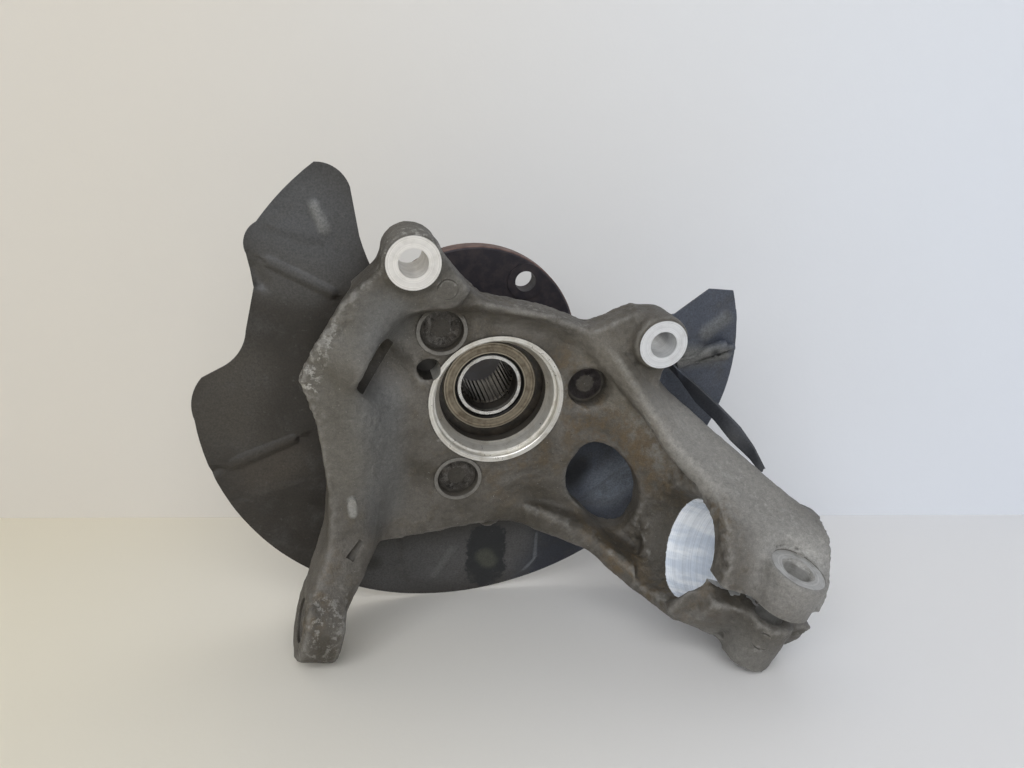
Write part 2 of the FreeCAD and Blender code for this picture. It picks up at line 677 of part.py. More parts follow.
upper_length = size("upper_ear_length")
lower_length = size("lower_ear_length")
lower_cheek = Part.Face(Part.makePolygon([
    at_clamp(-6, 8, -4), at_clamp(size("pinch_along"), 8, -4), at_clamp(size("pinch_along"), 8, -lower_length),
    at_clamp(size("pinch_along") - 20, 8, 2 - lower_length), at_clamp(-10, 8, -24), at_clamp(-6, 8, -4)]))
lower_cheek = lower_cheek.extrude(slit_way * (size("pinch_offset") - 12))
upper_ear = rod(size("pinch_ear_radius"), upper_length,
                at_clamp(size("pinch_along"), size("pinch_offset"), 0), bolt_way)
lower_ear = rod(size("lower_ear_radius"), lower_length,
                at_clamp(size("pinch_along"), size("pinch_offset"), -lower_length), bolt_way)
casting = web.fuse([
    lip, left_shoulder, ball_joint_boss, lug, lug_arm, ear(front_ear), ear(rear_ear), seat_boss, upper_wall,
    rear_gusset, lower_wall, trough_floor, clamp_ring, upper_ear, lower_ear,
    ear_block(size("pinch_ear_radius"), 0, upper_length), ear_block(size("lower_ear_radius"), -lower_length, 0),
    lower_cheek, ejector_mark] + seat_lobes + shield_pads)
casting_object = doc.addObject("Part::Feature", "knuckle_casting")
casting_object.Label = "knuckle casting"
casting_object.Shape = casting.cut(window)

# Machining of the knuckle: every bore and face is its own cutter, with its size bound to the sheet.
cutters = []


def cutter(name, kind, base, way, **sizes):
    """A cylinder or cone that cuts the casting, placed along a direction, with bound sizes."""
    obj = doc.addObject("Part::" + kind, name)
    for prop, expression in sizes.items():
        obj.setExpression(prop, bound(expression))
    obj.Placement = Placement(base, Rotation(Vector(0, 0, 1), way))
    cutters.append(obj)
    return obj


cutter("ring_step", "Cylinder", Vector(0, web_face - 20, 0), AXIS,
       Radius="ring_step_radius", Height="20 + ring_step_depth")
cutter("bore_cone", "Cone", Vector(0, web_face + size("ring_step_depth") - 0.5, 0), AXIS,
       Radius1="ring_step_radius - 1.2", Radius2="bore_radius", Height="bore_depth - ring_step_depth")
cutter("bore", "Cylinder", Vector(0, web_face, 0), AXIS,
       Radius="bore_radius", Height="bearing_seat + 2 * spigot_clearance")
cutter("spigot_bore", "Cylinder", Vector(0, size("outer_ring_start") - 0.5, 0), AXIS,
       Radius=spigot + " + spigot_clearance", Height="bearing_seat")
for i in range(3):
    turn = size("bearing_bolt_angle") + 120.0 * i
    cutter("counterbore_%d" % i, "Cylinder", polar(size("bearing_bolt_circle"), turn, web_face - 14), AXIS,
           Radius="counterbore_radius", Height="14 + counterbore_depth")
    cutter("bolt_hole_%d" % i, "Cylinder", polar(size("bearing_bolt_circle"), turn, web_face), AXIS,
           Radius="bolt_shank_radius + bolt_hole_clearance", Height="bearing_seat + 4")
for name, centre in (("front", front_ear), ("rear", rear_ear)):
    cutter(name + "_ear_hole", "Cylinder", centre - AXIS * 2, AXIS,
           Radius="ear_hole_radius", Height="ear_thickness + 6")
    cutter(name + "_ear_spot", "Cylinder", centre - AXIS * 6, AXIS, Radius="ear_radius + 1.5", Height="6")
cutter("sensor_hole", "Cylinder",
       Vector(size("sensor_hole_across"), web_face - 6, size("sensor_hole_height")), AXIS,
       Radius="sensor_hole_radius", Height="outer_ring_start + flange_edge")
cutter("ball_joint_face", "Cylinder", ball_joint_seat, ball_joint_way,
       Radius="ball_joint_boss_radius + 12", Height="30")
cutter("ball_joint_taper", "Cone", ball_joint_seat + ball_joint_way * 0.5, ball_joint_way * -1,
       Radius1="ball_joint_large_radius", Radius2="ball_joint_small_radius",
       Height="ball_joint_boss_length + 2")
cutter("nut_pocket", "Cylinder",
       ball_joint_seat - ball_joint_way * size("ball_joint_boss_length"), ball_joint_way * -1,
       Radius="nut_seat_radius", Height="nut_pocket_length")
cutter("lug_taper", "Cone", lug_face + lug_way * 0.5, lug_way * -1,
       Radius1="lug_large_radius", Radius2="lug_small_radius", Height="lug_length + 1")
cutter("lug_recess", "Cylinder", lug_face - lug_way * size("lug_recess_depth"), lug_way,
       Radius="lug_recess_radius", Height="lug_recess_depth + 4")
cutter("strut_bore", "Cylinder", at_clamp(-size("clamp_mouth_reach") - 30, 0, 0), clamp_axis,
       Radius="clamp_bore_radius", Height="clamp_length + clamp_mouth_reach + 40")
cutter("strut_flare", "Cone", at_clamp(-size("clamp_mouth_reach") - 1, 0, 0), clamp_axis,
       Radius1="clamp_bore_radius + clamp_mouth_flare", Radius2="clamp_bore_radius",
       Height="clamp_mouth_reach + 4")
cutter("pinch_hole", "Cylinder",
       at_clamp(size("pinch_along"), size("pinch_offset"), -lower_length - 2), bolt_way,
       Radius="pinch_hole_radius", Height="upper_ear_length + lower_ear_length + 4")
cutter("pinch_face", "Cylinder",
       at_clamp(size("pinch_along"), size("pinch_offset"), upper_length - 1.0), bolt_way,
       Radius="pinch_face_radius", Height="40")
for i, angle in enumerate(shield_screw_angles):
    cutter("shield_hole_%d" % i, "Cylinder",
           polar(size("shield_screw_circle"), angle, size("shield_pad_root")), AXIS,
           Radius="screw_shank_radius", Height="shield_face")
slit = doc.addObject("Part::Box", "slit")
slit.setExpression("Length", bound("clamp_length + clamp_mouth_reach + 60"))
slit.setExpression("Width", bound("pinch_offset + pinch_ear_radius + 10"))
slit.setExpression("Height", bound("slit_width"))
slit.Placement = Placement(at_clamp(-size("clamp_mouth_reach") - 30, 0, size("slit_rise") - size("slit_width") / 2),
                           Rotation(clamp_axis, slit_way, bolt_way, "XYZ"))
cutters.append(slit)
tools = doc.addObject("Part::MultiFuse", "machining")
tools.Shapes = cutters
knuckle = doc.addObject("Part::Cut", "knuckle_machined")
knuckle.Base = casting_object
knuckle.Tool = tools
doc.recompute()
keep("knuckle", knuckle)

# Dust shield: one pressed steel sheet, dished outboard towards its rim and open at the top for the caliper.
shield_face = size("shield_face")
sheet_depth = size("shield_sheet")


def sheet_line(radius):
    """Depth of the sheet's inboard face at a radius."""
    inner = size("dish_start_radius")
    share = (radius - inner) / (size("dish_end_radius") - inner)
    return shield_face + size("shield_dish") * min(max(share, 0.0), 1.0)


profile_radii = (size("shield_hole_radius") - 6, size("dish_start_radius"), size("dish_end_radius"), 210)
front = [Vector(radius, sheet_line(radius), 0) for radius in profile_radii]
back = [point + AXIS * sheet_depth for point in reversed(front)]
dish = Part.Face(Part.makePolygon(front + back + [front[0]])).revolve(Vector(0, 0, 0), AXIS, 360)


def arc(first, through, last):
    return Part.Arc(*[Vector(x, 0, z) for x, z in (first, through, last)]).toShape()


def line(first, last):
    return Part.LineSegment(*[Vector(x, 0, z) for x, z in (first, last)]).toShape()


def ring_point(radius, degrees):
    point = polar(radius, degrees, 0)
    return (point.x, point.z)


hole_left = ring_point(size("shield_hole_radius"), 138)
hole_low = ring_point(size("shield_hole_radius"), -98)
hole_right = ring_point(size("shield_hole_radius"), 26)
lobe_top = ring_point(size("shield_radius"), 127)
lobe_side = ring_point(size("shield_radius"), 143)
outline = [
    arc(hole_left, hole_low, hole_right),
    line(hole_right, (115, 37)),
    line((115, 37), (136.5, 51.5)),
    line((136.5, 51.5), (152.5, 50)),
    arc((152.5, 50), (160, 9), (149.5, -41)),
    arc((149.5, -41), (120, -95), (71, -130)),
    arc((71, -130), (1, -153), (-51.5, -151)),
    arc((-51.5, -151), (-131.5, -103), (-165, -18.5)),
    arc((-165, -18.5), (-165, -4), (-159, 7)),
    line((-159, 7), (-147.5, 13)),
    arc((-147.5, 13), (-138.5, 21), (-133.5, 34)),
    line((-133.5, 34), (-127.5, 58.5)),
    line((-127.5, 58.5), (-130, 76.5)),
    arc((-130, 76.5), (-130.5, 85), lobe_side),
    arc(lobe_side, ring_point(size("shield_radius"), 135), lobe_top),
    arc(lobe_top, (-82, 120.5), (-75.5, 111.5)),
    line((-75.5, 111.5), (-71.5, 86)),
    arc((-71.5, 86), (-66, 70), hole_left),
]
blank = Part.Face(Part.Wire(outline)).extrude(Vector(0, 60, 0))
sheet_metal = dish.common(blank)
screw_points = [polar(size("shield_screw_circle"), angle, shield_face) for angle in shield_screw_angles]
screw_holes = [rod(size("screw_shank_radius") + size("screw_hole_clearance"), 4.0, point - AXIS, AXIS)
               for point in screw_points]


def bead(first, last):
    """A pressed stiffening bead: a low rounded ridge on the inboard face, from one spot to another."""
    rise = AXIS * (size("bead_radius") - size("bead_height"))
    ends = [Vector(x, sheet_line(math.hypot(x, z)), z) + rise for x, z in (first, last)]
    ridge = rod(size("bead_radius"), (ends[1] - ends[0]).Length, ends[0], ends[1] - ends[0])
    caps = [Part.makeSphere(size("bead_radius"), end) for end in ends]
    return ridge.fuse(caps)


bead_ends = [
    ((-118, 72), (-87, 55.5)), ((-147, -48), (-112, -32)), ((-51, -116), (-49, -132)),
    ((-46, -138), (-35, -140)), ((35, -112), (35.5, -132)), ((31, -138.5), (16, -140.5)),
]
beads = Part.makeCompound([bead(first, last) for first, last in bead_ends])
over_sheet = Part.Face(Part.makePolygon([front[0], front[1], front[2], front[3], Vector(210, 0, 0),
                                         Vector(64, 0, 0), front[0]])).revolve(Vector(0, 0, 0), AXIS, 360)
raised = beads.common(over_sheet)
strap_run = [  # upper and lower edge of the strap, from the sheet out to its free end
    ((108, 29.6, 13), (113, 29.6, 4)), ((114, 20, 7), (117.8, 20, -1.5)), ((126.9, 12, -3), (126.7, 12, -14)),
    ((138, 3, -12.5), (136.2, 3, -22.4)), ((148.7, -8, -23), (142.8, -8, -31)),
    ((154.5, -17, -32), (152, -17, -39)), ((159.5, -25, -43), (156.5, -25, -45)),
]
strap_sheet = Vector(0.6, 1.6, 0.7)
strap = cast_wall(*[[Vector(*upper), Vector(*lower), Vector(*lower) + strap_sheet,
                     Vector(*upper) + strap_sheet] for upper, lower in strap_run])
clip_arm = rod(size("clip_arm_radius"), 34, Vector(120, sheet_line(122) + 1.5, 4), Vector(0.93, -0.02, 0.33))
clip_pin = rod(size("clip_pin_radius"), size("clip_pin_length"), Vector(150, sheet_line(151) - 3.2, 14),
               Vector(0.93, -0.1, 0.1))
shield = sheet_metal.fuse([raised, strap, clip_arm.common(over_sheet), clip_pin]).cut(screw_holes)
keep_shape("dust_shield", shield)

# Shield screws: small flanged hexagon screws from the outboard side into the knuckle's pads.
screws = []
for point in screw_points:
    seat_point = point + AXIS * sheet_depth
    collar = rod(size("screw_head_radius"), size("screw_flange_height"), seat_point, AXIS)
    hexagon = prism([(point.x + size("screw_hex_radius") * math.cos(math.radians(60 * i)),
                      point.z + size("screw_hex_radius") * math.sin(math.radians(60 * i))) for i in range(6)],
                    seat_point.y, seat_point.y + size("screw_head_height"))
    shank = rod(size("screw_shank_radius"), size("screw_length"), seat_point, AXIS * -1)
    screws.append(collar.fuse([hexagon, shank]))
keep_shape("shield_screws", Part.makeCompound(screws))

doc.recompute()
for obj in doc.Objects:
    if "Invalid" in obj.State or "Error" in obj.State:
        raise RuntimeError("%s failed to build: %s" % (obj.Label, obj.State))
for name, obj in NODES.items():
    if obj.Shape.isNull() or not obj.Shape.isValid():
        raise RuntimeError("%s has no valid shape" % name)

os.makedirs("parts", exist_ok=True)
for name, obj in NODES.items():
    obj.Shape.exportStep(os.path.join("parts", name + ".step"))
    box = obj.Shape.BoundBox
    print("%-20s %2d solids %10.0f mm3  x %.1f %.1f  y %.1f %.1f  z %.1f %.1f" % (
        name, len(obj.Shape.Solids), obj.Shape.Volume, box.XMin, box.XMax, box.YMin, box.YMax, box.ZMin, box.ZMax))
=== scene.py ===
import bmesh
import bpy
import math
from mathutils import Matrix, Vector, geometry, noise


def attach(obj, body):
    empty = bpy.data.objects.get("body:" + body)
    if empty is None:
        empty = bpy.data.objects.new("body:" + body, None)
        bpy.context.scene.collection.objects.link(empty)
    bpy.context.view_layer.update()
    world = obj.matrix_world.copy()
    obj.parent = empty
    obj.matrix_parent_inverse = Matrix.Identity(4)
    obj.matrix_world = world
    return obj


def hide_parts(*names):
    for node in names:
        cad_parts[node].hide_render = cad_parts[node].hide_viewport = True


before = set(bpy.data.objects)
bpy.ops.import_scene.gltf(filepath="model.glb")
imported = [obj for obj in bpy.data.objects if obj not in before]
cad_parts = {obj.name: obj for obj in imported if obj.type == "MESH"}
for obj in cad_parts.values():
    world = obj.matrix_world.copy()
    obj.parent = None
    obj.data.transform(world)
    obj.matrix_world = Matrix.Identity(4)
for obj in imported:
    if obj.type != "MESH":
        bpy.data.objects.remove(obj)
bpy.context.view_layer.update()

scene = bpy.context.scene

# Table, wall and daylight.
# The assembly stands on a pale table in front of a pale wall; soft light comes from a window at the upper
# left behind it, and the room fills in the rest.
TABLE_TOP = -0.16245
WALL_TURN = -14.19
WALL_FOOT = Vector((0.05, 0.127, TABLE_TOP))
ROOM_REACH = 3.0


def put(tree, kind, inputs=None, **settings):
    """Add a node to a material, set it up and feed its sockets."""
    node = tree.nodes.new("ShaderNode" + kind)
    for name, value in settings.items():
        setattr(node, name, value)
    for name, value in (inputs or {}).items():
        if isinstance(value, bpy.types.NodeSocket):
            tree.links.new(value, node.inputs[name])
        else:
            node.inputs[name].default_value = value
    return node


def blank_finish(name, **sockets):
    """A material with the plain shader, some of its sockets set."""
    finish = bpy.data.materials.new(name)
    finish.use_nodes = True
    for socket, value in sockets.items():
        finish.node_tree.nodes["Principled BSDF"].inputs[socket.replace("_", " ")].default_value = value
    return finish, finish.node_tree, finish.node_tree.nodes["Principled BSDF"]


def grain(tree, scale, detail=4.0, rough=0.6, bend=0.0, place=None):
    """Noise in the piece's own space; scale counts per metre."""
    if place is None:
        place = put(tree, "TexCoord").outputs["Object"]
    return put(tree, "TexNoise", {"Vector": place, "Scale": scale, "Detail": detail, "Roughness": rough,
                                  "Distortion": bend}).outputs["Fac"]


def spread(tree, value, low, high, bottom=0.0, top=1.0):
    """Stretch a value's range smoothly onto another range."""
    return put(tree, "MapRange", {0: value, 1: low, 2: high, 3: bottom, 4: top},
               interpolation_type="SMOOTHSTEP").outputs[0]


def tint(tree, share, first, second):
    """Blend two colours, or a socket and a colour."""
    first, second = [tuple(c) + (1.0,) if isinstance(c, (tuple, list)) and len(c) == 3 else c
                     for c in (first, second)]
    return put(tree, "Mix", {0: share, 6: first, 7: second}, data_type="RGBA").outputs[2]


def work(tree, operation, first, second=0.0):
    """One sum on two values."""
    return put(tree, "Math", {0: first, 1: second}, operation=operation).outputs[0]


def paint(tree, shader, colour):
    """Give a shader its colour."""
    tree.links.new(colour, shader.inputs["Base Color"])


def raise_grain(tree, shader, height, strength, depth):
    """Bump on a shader from a height value."""
    bump = put(tree, "Bump", {"Height": height, "Strength": strength, "Distance": depth})
    tree.links.new(bump.outputs["Normal"], shader.inputs["Normal"])


def piece_from(name, bm, finish, body=None):
    """Turn a mesh under construction into an object with one material."""
    mesh = bpy.data.meshes.new(name)
    bm.to_mesh(mesh)
    bm.free()
    piece = bpy.data.objects.new(name, mesh)
    scene.collection.objects.link(piece)
    if finish:
        mesh.materials.append(finish)
    if body:
        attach(piece, body)
    return piece


table_finish, tree, shader = blank_finish("table_laminate", Roughness=0.5)
place = put(tree, "TexCoord").outputs["Object"]
across = put(tree, "SeparateXYZ", {0: place}).outputs[0]
drift = work(tree, "MULTIPLY", grain(tree, 2.2, 3.0), 0.12)
# The table runs from warm yellow on the left to neutral on the right: painted light, the colour of the light
# falling across the table.
shade = spread(tree, work(tree, "ADD", across, drift), -0.30, 0.25)
paint(tree, shader, tint(tree, shade, (0.890, 0.825, 0.665), (0.890, 0.875, 0.860)))
raise_grain(tree, shader, grain(tree, 420.0, 2.0), 0.15, 0.0004)

wall_finish, tree, shader = blank_finish("wall_paint", Roughness=0.9)
place = put(tree, "TexCoord").outputs["Object"]
along = put(tree, "SeparateXYZ", {0: place}).outputs[0]
drift = work(tree, "MULTIPLY", grain(tree, 3.0, 2.0), 0.15)
# The wall runs from a darker warm tone on the left to a brighter, bluer tone on the right: painted light
# falling across the wall.
shade = spread(tree, work(tree, "ADD", along, drift), -0.25, 0.6)
paint(tree, shader, tint(tree, shade, (0.665, 0.625, 0.560), (0.715, 0.740, 0.785)))
raise_grain(tree, shader, grain(tree, 260.0, 3.0), 0.12, 0.0006)
behind = put(tree, "NewGeometry").outputs["Backfacing"]
clear = put(tree, "BsdfTransparent")
choice = put(tree, "MixShader", {0: behind, 1: shader.outputs[0], 2: clear.outputs[0]})
tree.links.new(choice.outputs[0], tree.nodes["Material Output"].inputs["Surface"])

bm = bmesh.new()
bmesh.ops.create_grid(bm, x_segments=1, y_segments=1, size=ROOM_REACH)
bmesh.ops.translate(bm, verts=bm.verts, vec=(0.0, 0.0, TABLE_TOP))
table = piece_from("table_top", bm, table_finish)

bm = bmesh.new()
bmesh.ops.create_grid(bm, x_segments=1, y_segments=1, size=ROOM_REACH)
upright = Matrix.Rotation(math.radians(WALL_TURN), 4, "Z") @ Matrix.Rotation(math.radians(90), 4, "X")
wall_middle = WALL_FOOT + Vector((0, 0, ROOM_REACH - 0.0005))
bmesh.ops.transform(bm, matrix=Matrix.Translation(wall_middle) @ upright, verts=bm.verts)
wall = piece_from("wall", bm, wall_finish)


def soft_lamp(name, place, aim, wide, tall, power, colour):
    """A soft lamp hung at a place and turned to an aim."""
    light = bpy.data.lights.new(name, "AREA")
    light.shape = "RECTANGLE"
    light.size, light.size_y = wide, tall
    light.energy = power
    light.color = colour
    lamp = bpy.data.objects.new(name, light)
    lamp.location = place
    lamp.rotation_euler = (Vector(aim) - Vector(place)).to_track_quat("-Z", "Y").to_euler()
    scene.collection.objects.link(lamp)


soft_lamp("window_light", (-0.42, 1.05, 1.30), (0.0, -0.05, -0.03), 0.8, 0.8, 104.0, (1.0, 0.985, 0.95))
soft_lamp("room_light", (-0.5, -1.7, 0.9), (0.0, 0.0, 0.0), 2.2, 1.4, 33.0, (0.95, 0.97, 1.0))
world = bpy.data.worlds.new("room")
world.use_nodes = True
world.node_tree.nodes["Background"].inputs["Color"].default_value = (0.82, 0.85, 0.90, 1.0)
world.node_tree.nodes["Background"].inputs["Strength"].default_value = 0.33
scene.world = world
scene.view_settings.view_transform = "Standard"

lens = bpy.data.cameras.new("camera")
lens.lens = 28.932
lens.sensor_width = 36.0
lens.clip_start = 0.01
camera = bpy.data.objects.new("camera", lens)
camera.location = (-0.091812, -0.525417, 0.064897)
camera.rotation_euler = [math.radians(a) for a in (80.3235, 0.6308, -12.9357)]
scene.collection.objects.link(camera)
scene.camera = camera

# Knuckle.
# One gravity-cast aluminium part with cast fillets and a matt, grimy skin. The bearing seat, the ears, the
# strut bore, the slit and the holes were machined afterwards and are crisp and bright; the strut bore is
# drawn brighter with a painted reflection, and the sensor hole, the bolt counterbores and the back of the
# bearing bore are drawn nearly black with painted shade.
LEAN = Matrix.Rotation(math.radians(0.09), 4, "Y") @ Matrix.Rotation(math.radians(14.26), 4, "X")
HUB = LEAN @ Matrix.Translation((0.0, -0.087, 0.0))
TO_HUB = HUB.inverted()
CAST_GRID = 0.0015
CAST_ROUNDING = 22
EAR_PLACES = [(-48.4, 84.5), (87.2, 37.1)]
EAR_FACE, EAR_DISC, EAR_HOLE = -18.0, 13.7, 7.5
BOLT_CIRCLE, BOLT_TURNS = 52.6, (126.5, 6.5, 246.5)


def spot(x, y, z):
    """A place in millimetres in the wheel's axes, as a point in the scene."""
    return HUB @ (Vector((x, y, z)) / 1000.0)


def direction(turn, lean):
    """A unit way from its angle in the wheel plane and its lean along the wheel axis."""
    turn, lean = math.radians(turn), math.radians(lean)
    return Vector((math.cos(lean) * math.cos(turn), math.sin(lean), math.cos(lean) * math.sin(turn)))


def round_wheel(radius, turn, depth):
    """A place at a radius and an angle round the wheel axis."""
    turn = math.radians(turn)
    return Vector((radius * math.cos(turn), depth, radius * math.sin(turn)))


CLAMP_MOUTH = Vector((99.0, -57.5, -68.5))
CLAMP_WAY = direction(-16.8, -8.1)
SLIT_WAY = (Vector((0, -1, 0)) - CLAMP_WAY * -CLAMP_WAY.y).normalized()
SLIT_WAY.rotate(Matrix.Rotation(math.radians(7.8), 3, CLAMP_WAY))
PINCH_WAY = CLAMP_WAY.cross(SLIT_WAY)
if PINCH_WAY.z < 0:
    PINCH_WAY = -PINCH_WAY
PINCH_ALONG, PINCH_OUT = 40.0, 35.6


def at_clamp(along, out, up):
    """A place in the clamp's axes: along its bore, out through the slit, up the pinch bolt."""
    return CLAMP_MOUTH + CLAMP_WAY * along + SLIT_WAY * out + PINCH_WAY * up


BALL_WAY = direction(150.0, 14.0)
BALL_SEAT = Vector((-93.0, 3.0, 41.0))
LUG_WAY = direction(166.2, -3.4)
LUG_FACE = Vector((-112.3, -33.0, -110.2))


def rod(bm, start, end, radius, end_radius=None, sides=64):
    """A closed round bar or cone between two places in the wheel's axes."""
    start, end = Vector(start), Vector(end)
    way = end - start
    turn = way.to_track_quat("Z", "Y").to_matrix().to_4x4()
    made = bmesh.ops.create_cone(bm, cap_ends=True, segments=sides, radius1=radius,
                                 radius2=radius if end_radius is None else end_radius, depth=way.length,
                                 matrix=Matrix.Translation((start + end) / 2) @ turn)
    return made["verts"]


def block(bm, middle, ways, sizes):
    """A box with its three ways and sizes."""
    turn = Matrix([list(w) for w in ways]).transposed().to_4x4()
    made = bmesh.ops.create_cube(bm, size=1.0)
    place = Matrix.Translation(middle) @ turn @ Matrix.Diagonal((*sizes, 1.0))
    bmesh.ops.transform(bm, matrix=place, verts=made["verts"])


def turned(profile, steps=96, closed=True, place=None):
    """A shape turned from a profile of radius and depth, round the wheel axis or an axis of its own."""
    bm = bmesh.new()
    corners = [bm.verts.new((radius, depth, 0.0)) for radius, depth in profile]
    pairs = zip(corners, corners[1:] + corners[:1]) if closed else zip(corners, corners[1:])
    edges = [bm.edges.new(pair) for pair in pairs]
    bmesh.ops.spin(bm, geom=corners + edges, cent=(0, 0, 0), axis=(0, 1, 0), angle=math.tau, steps=steps,
                   use_merge=True)
    if place:
        bmesh.ops.transform(bm, matrix=place, verts=bm.verts)
    return bm


def hoop(radius, tube, middle, out, way, up):
    """A round wire hoop round a way through its middle."""
    place = Matrix.Translation(middle) @ Matrix([list(out), list(way), list(up)]).transposed().to_4x4()
    angles = [math.tau * i / 10 for i in range(10)]
    ring = [(radius + tube * math.cos(angle), tube * math.sin(angle)) for angle in angles]
    return turned(ring, 64, True, place)


def settle(bm):
    """Bring a shape from millimetres in the wheel's axes to its place in the scene, faces outwards."""
    bmesh.ops.remove_doubles(bm, verts=bm.verts, dist=0.001)
    bmesh.ops.recalc_face_normals(bm, faces=bm.faces)
    bmesh.ops.transform(bm, matrix=HUB @ Matrix.Diagonal((0.001, 0.001, 0.001, 1.0)), verts=bm.verts)


def evaluated(piece):
    """Fix a piece's modifiers into its mesh."""
    shape = bpy.data.meshes.new_from_object(piece.evaluated_get(bpy.context.evaluated_depsgraph_get()))
    piece.modifiers.clear()
    old = piece.data
    piece.data = shape
    bpy.data.meshes.remove(old)


def shaped(piece, bm, operation, solver="MANIFOLD"):
    """Add or cut away a shape from a piece."""
    settle(bm)
    tool = piece_from("tool", bm, None)
    change = piece.modifiers.new("tool", "BOOLEAN")
    change.operation = operation
    change.solver = solver
    change.object = tool
    evaluated(piece)
    bpy.data.objects.remove(tool)


def weigh(piece, name, lines):
    """A vertex group that is full near some lines in the wheel's axes and fades out at their reach."""
    group = piece.vertex_groups.new(name=name)
    for vert in piece.data.vertices:
        here = TO_HUB @ vert.co * 1000.0
        most = 0.0
        for points, reach in lines:
            for first, last in zip(points, points[1:]):
                if abs(here.x - first.x) > reach + 80.0:
                    continue
                foot, share = geometry.intersect_point_line(here, first, last)
                gap = (here - first.lerp(last, min(max(share, 0.0), 1.0))).length / reach
                if gap < 1.0:
                    most = max(most, (1.0 - gap * gap) ** 2)
        if most > 0.02:
            group.add([vert.index], min(1.5 * most, 1.0), "REPLACE")


def line_of(*points):
    """A line through some places in the wheel's axes."""
    return [Vector(point) for point in points]


MOUTH_REACH, MOUTH_TILT = 35.5, 0.287
MOUTH_RING = [at_clamp(-5.5 + MOUTH_TILT * MOUTH_REACH * math.cos(turn), MOUTH_REACH * math.cos(turn),
                       MOUTH_REACH * math.sin(turn)) for turn in map(math.radians, range(30, 331, 20))]
FLOWING = [  # where the casting runs over in wide fillets
    (line_of((-62, -8, 47), (-67, -7, 10), (-64, -7, -20), (-62, -7, -54), (-70, -14, -74)), 22.0),
    (line_of((2, 0, -62), (10, -2, -82)), 15.0), (line_of((52, -20, -72), (62, -24, -88)), 12.0),
    (line_of((-30, -1, 58), (-9, 0, 54.5), (9, 0, 50.5), (25, 0, 46.5), (40, 0, 40), (49, 0, 37)), 8.0),
]
ROUGH = [  # where the skin is burnt and spattered
    (MOUTH_RING, 9.0), (line_of(at_clamp(68, 5, 36), at_clamp(66, 32, 20), at_clamp(66, 40, -8)), 20.0),
    (line_of(at_clamp(20, 26, -30), at_clamp(50, 34, -32)), 12.0),
    (line_of((-24, 6, 66), (50, 6, 45), (80, 0, 52)), 8.0),
    (line_of((-74, -12, 71), (-104, -12, 24), (-98, -12, 0)), 8.0),
]

bm = bmesh.new()
bm.from_mesh(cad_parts["knuckle"].data)
bmesh.ops.remove_doubles(bm, verts=bm.verts, dist=0.00001)
for face in bm.faces:
    face.material_index = 0
knuckle = piece_from("knuckle_casting", bm, None)

# The machined holes are closed before the skin is rounded, and cut again afterwards, so that they stay crisp.
bm = bmesh.new()
rod(bm, (0, 2.4, 0), (0, 17.0, 0), 39.0)
shaped(knuckle, bm, "UNION", "EXACT")
bm = bmesh.new()
for x, z in EAR_PLACES:
    rod(bm, (x, EAR_FACE + 2.0, z), (x, EAR_FACE + 24.0, z), EAR_HOLE + 0.6)
for turn in BOLT_TURNS:
    rod(bm, round_wheel(BOLT_CIRCLE, turn, 1.6), round_wheel(BOLT_CIRCLE, turn, 28.0), 12.9)
shaped(knuckle, bm, "UNION", "EXACT")
bm = bmesh.new()
rod(bm, at_clamp(2.0, 0, 0), at_clamp(64.0, 0, 0), 28.6, sides=96)
shaped(knuckle, bm, "UNION", "EXACT")
bm = bmesh.new()
rod(bm, BALL_SEAT - BALL_WAY * 28.0, BALL_SEAT - BALL_WAY * 54.0, 17.0, 13.0)
shaped(knuckle, bm, "DIFFERENCE", "EXACT")
skin = knuckle.modifiers.new("skin", "REMESH")
skin.mode = "VOXEL"
skin.voxel_size = CAST_GRID
round_off = knuckle.modifiers.new("cast fillets", "SMOOTH")
round_off.factor = 0.5
round_off.iterations = CAST_ROUNDING
evaluated(knuckle)
weigh(knuckle, "flowing", FLOWING)
weigh(knuckle, "rough", ROUGH)
flow = knuckle.modifiers.new("wide fillets", "SMOOTH")
flow.factor = 0.5
flow.iterations = 150
flow.vertex_group = "flowing"
for name, size, height, group in (("cast_waves", 0.012, 0.0007, ""), ("cast_pits", 0.0035, 0.0005, ""),
                                  ("cast_spatter", 0.005, 0.0026, "rough")):
    waves = bpy.data.textures.new(name, "CLOUDS")
    waves.noise_scale = size
    waves.noise_depth = 2
    uneven = knuckle.modifiers.new(name, "DISPLACE")
    uneven.texture = waves
    uneven.texture_coords = "LOCAL"
    uneven.strength = height
    uneven.mid_level = 0.5
    uneven.vertex_group = group
evaluated(knuckle)
knuckle.vertex_groups.clear()

# Bearing seat: a collar, rims round the bolt holes and an oval pad on the web, then the stepped and
# tapered bore in one cut.
bm = bmesh.new()
rod(bm, (0, -0.1, 0), (0, 8.0, 0), 38.4, sides=128)
shaped(knuckle, bm, "UNION")
bm = bmesh.new()
for turn in BOLT_TURNS:
    rod(bm, round_wheel(BOLT_CIRCLE, turn, 0.1), round_wheel(BOLT_CIRCLE, turn, 6.0), 13.7, 14.6)
made = rod(bm, (-81.7, -12.0, -51.0), (-81.7, -17.4, -51.0), 4.0, 2.6)
bmesh.ops.scale(bm, vec=(1.0, 1.0, 2.0), space=Matrix.Translation((81.7, 0.0, 51.0)), verts=made)
shaped(knuckle, bm, "UNION")
SEAT_PROFILE = [(0.0, -12.0), (38.4, -12.0), (38.4, -0.1), (35.9, -0.1), (35.4, 0.4), (35.4, 4.1),
                (34.1, 4.4), (30.9, 11.3), (30.8, 18.4), (0.0, 18.4)]
shaped(knuckle, turned(SEAT_PROFILE, 128, False), "DIFFERENCE")
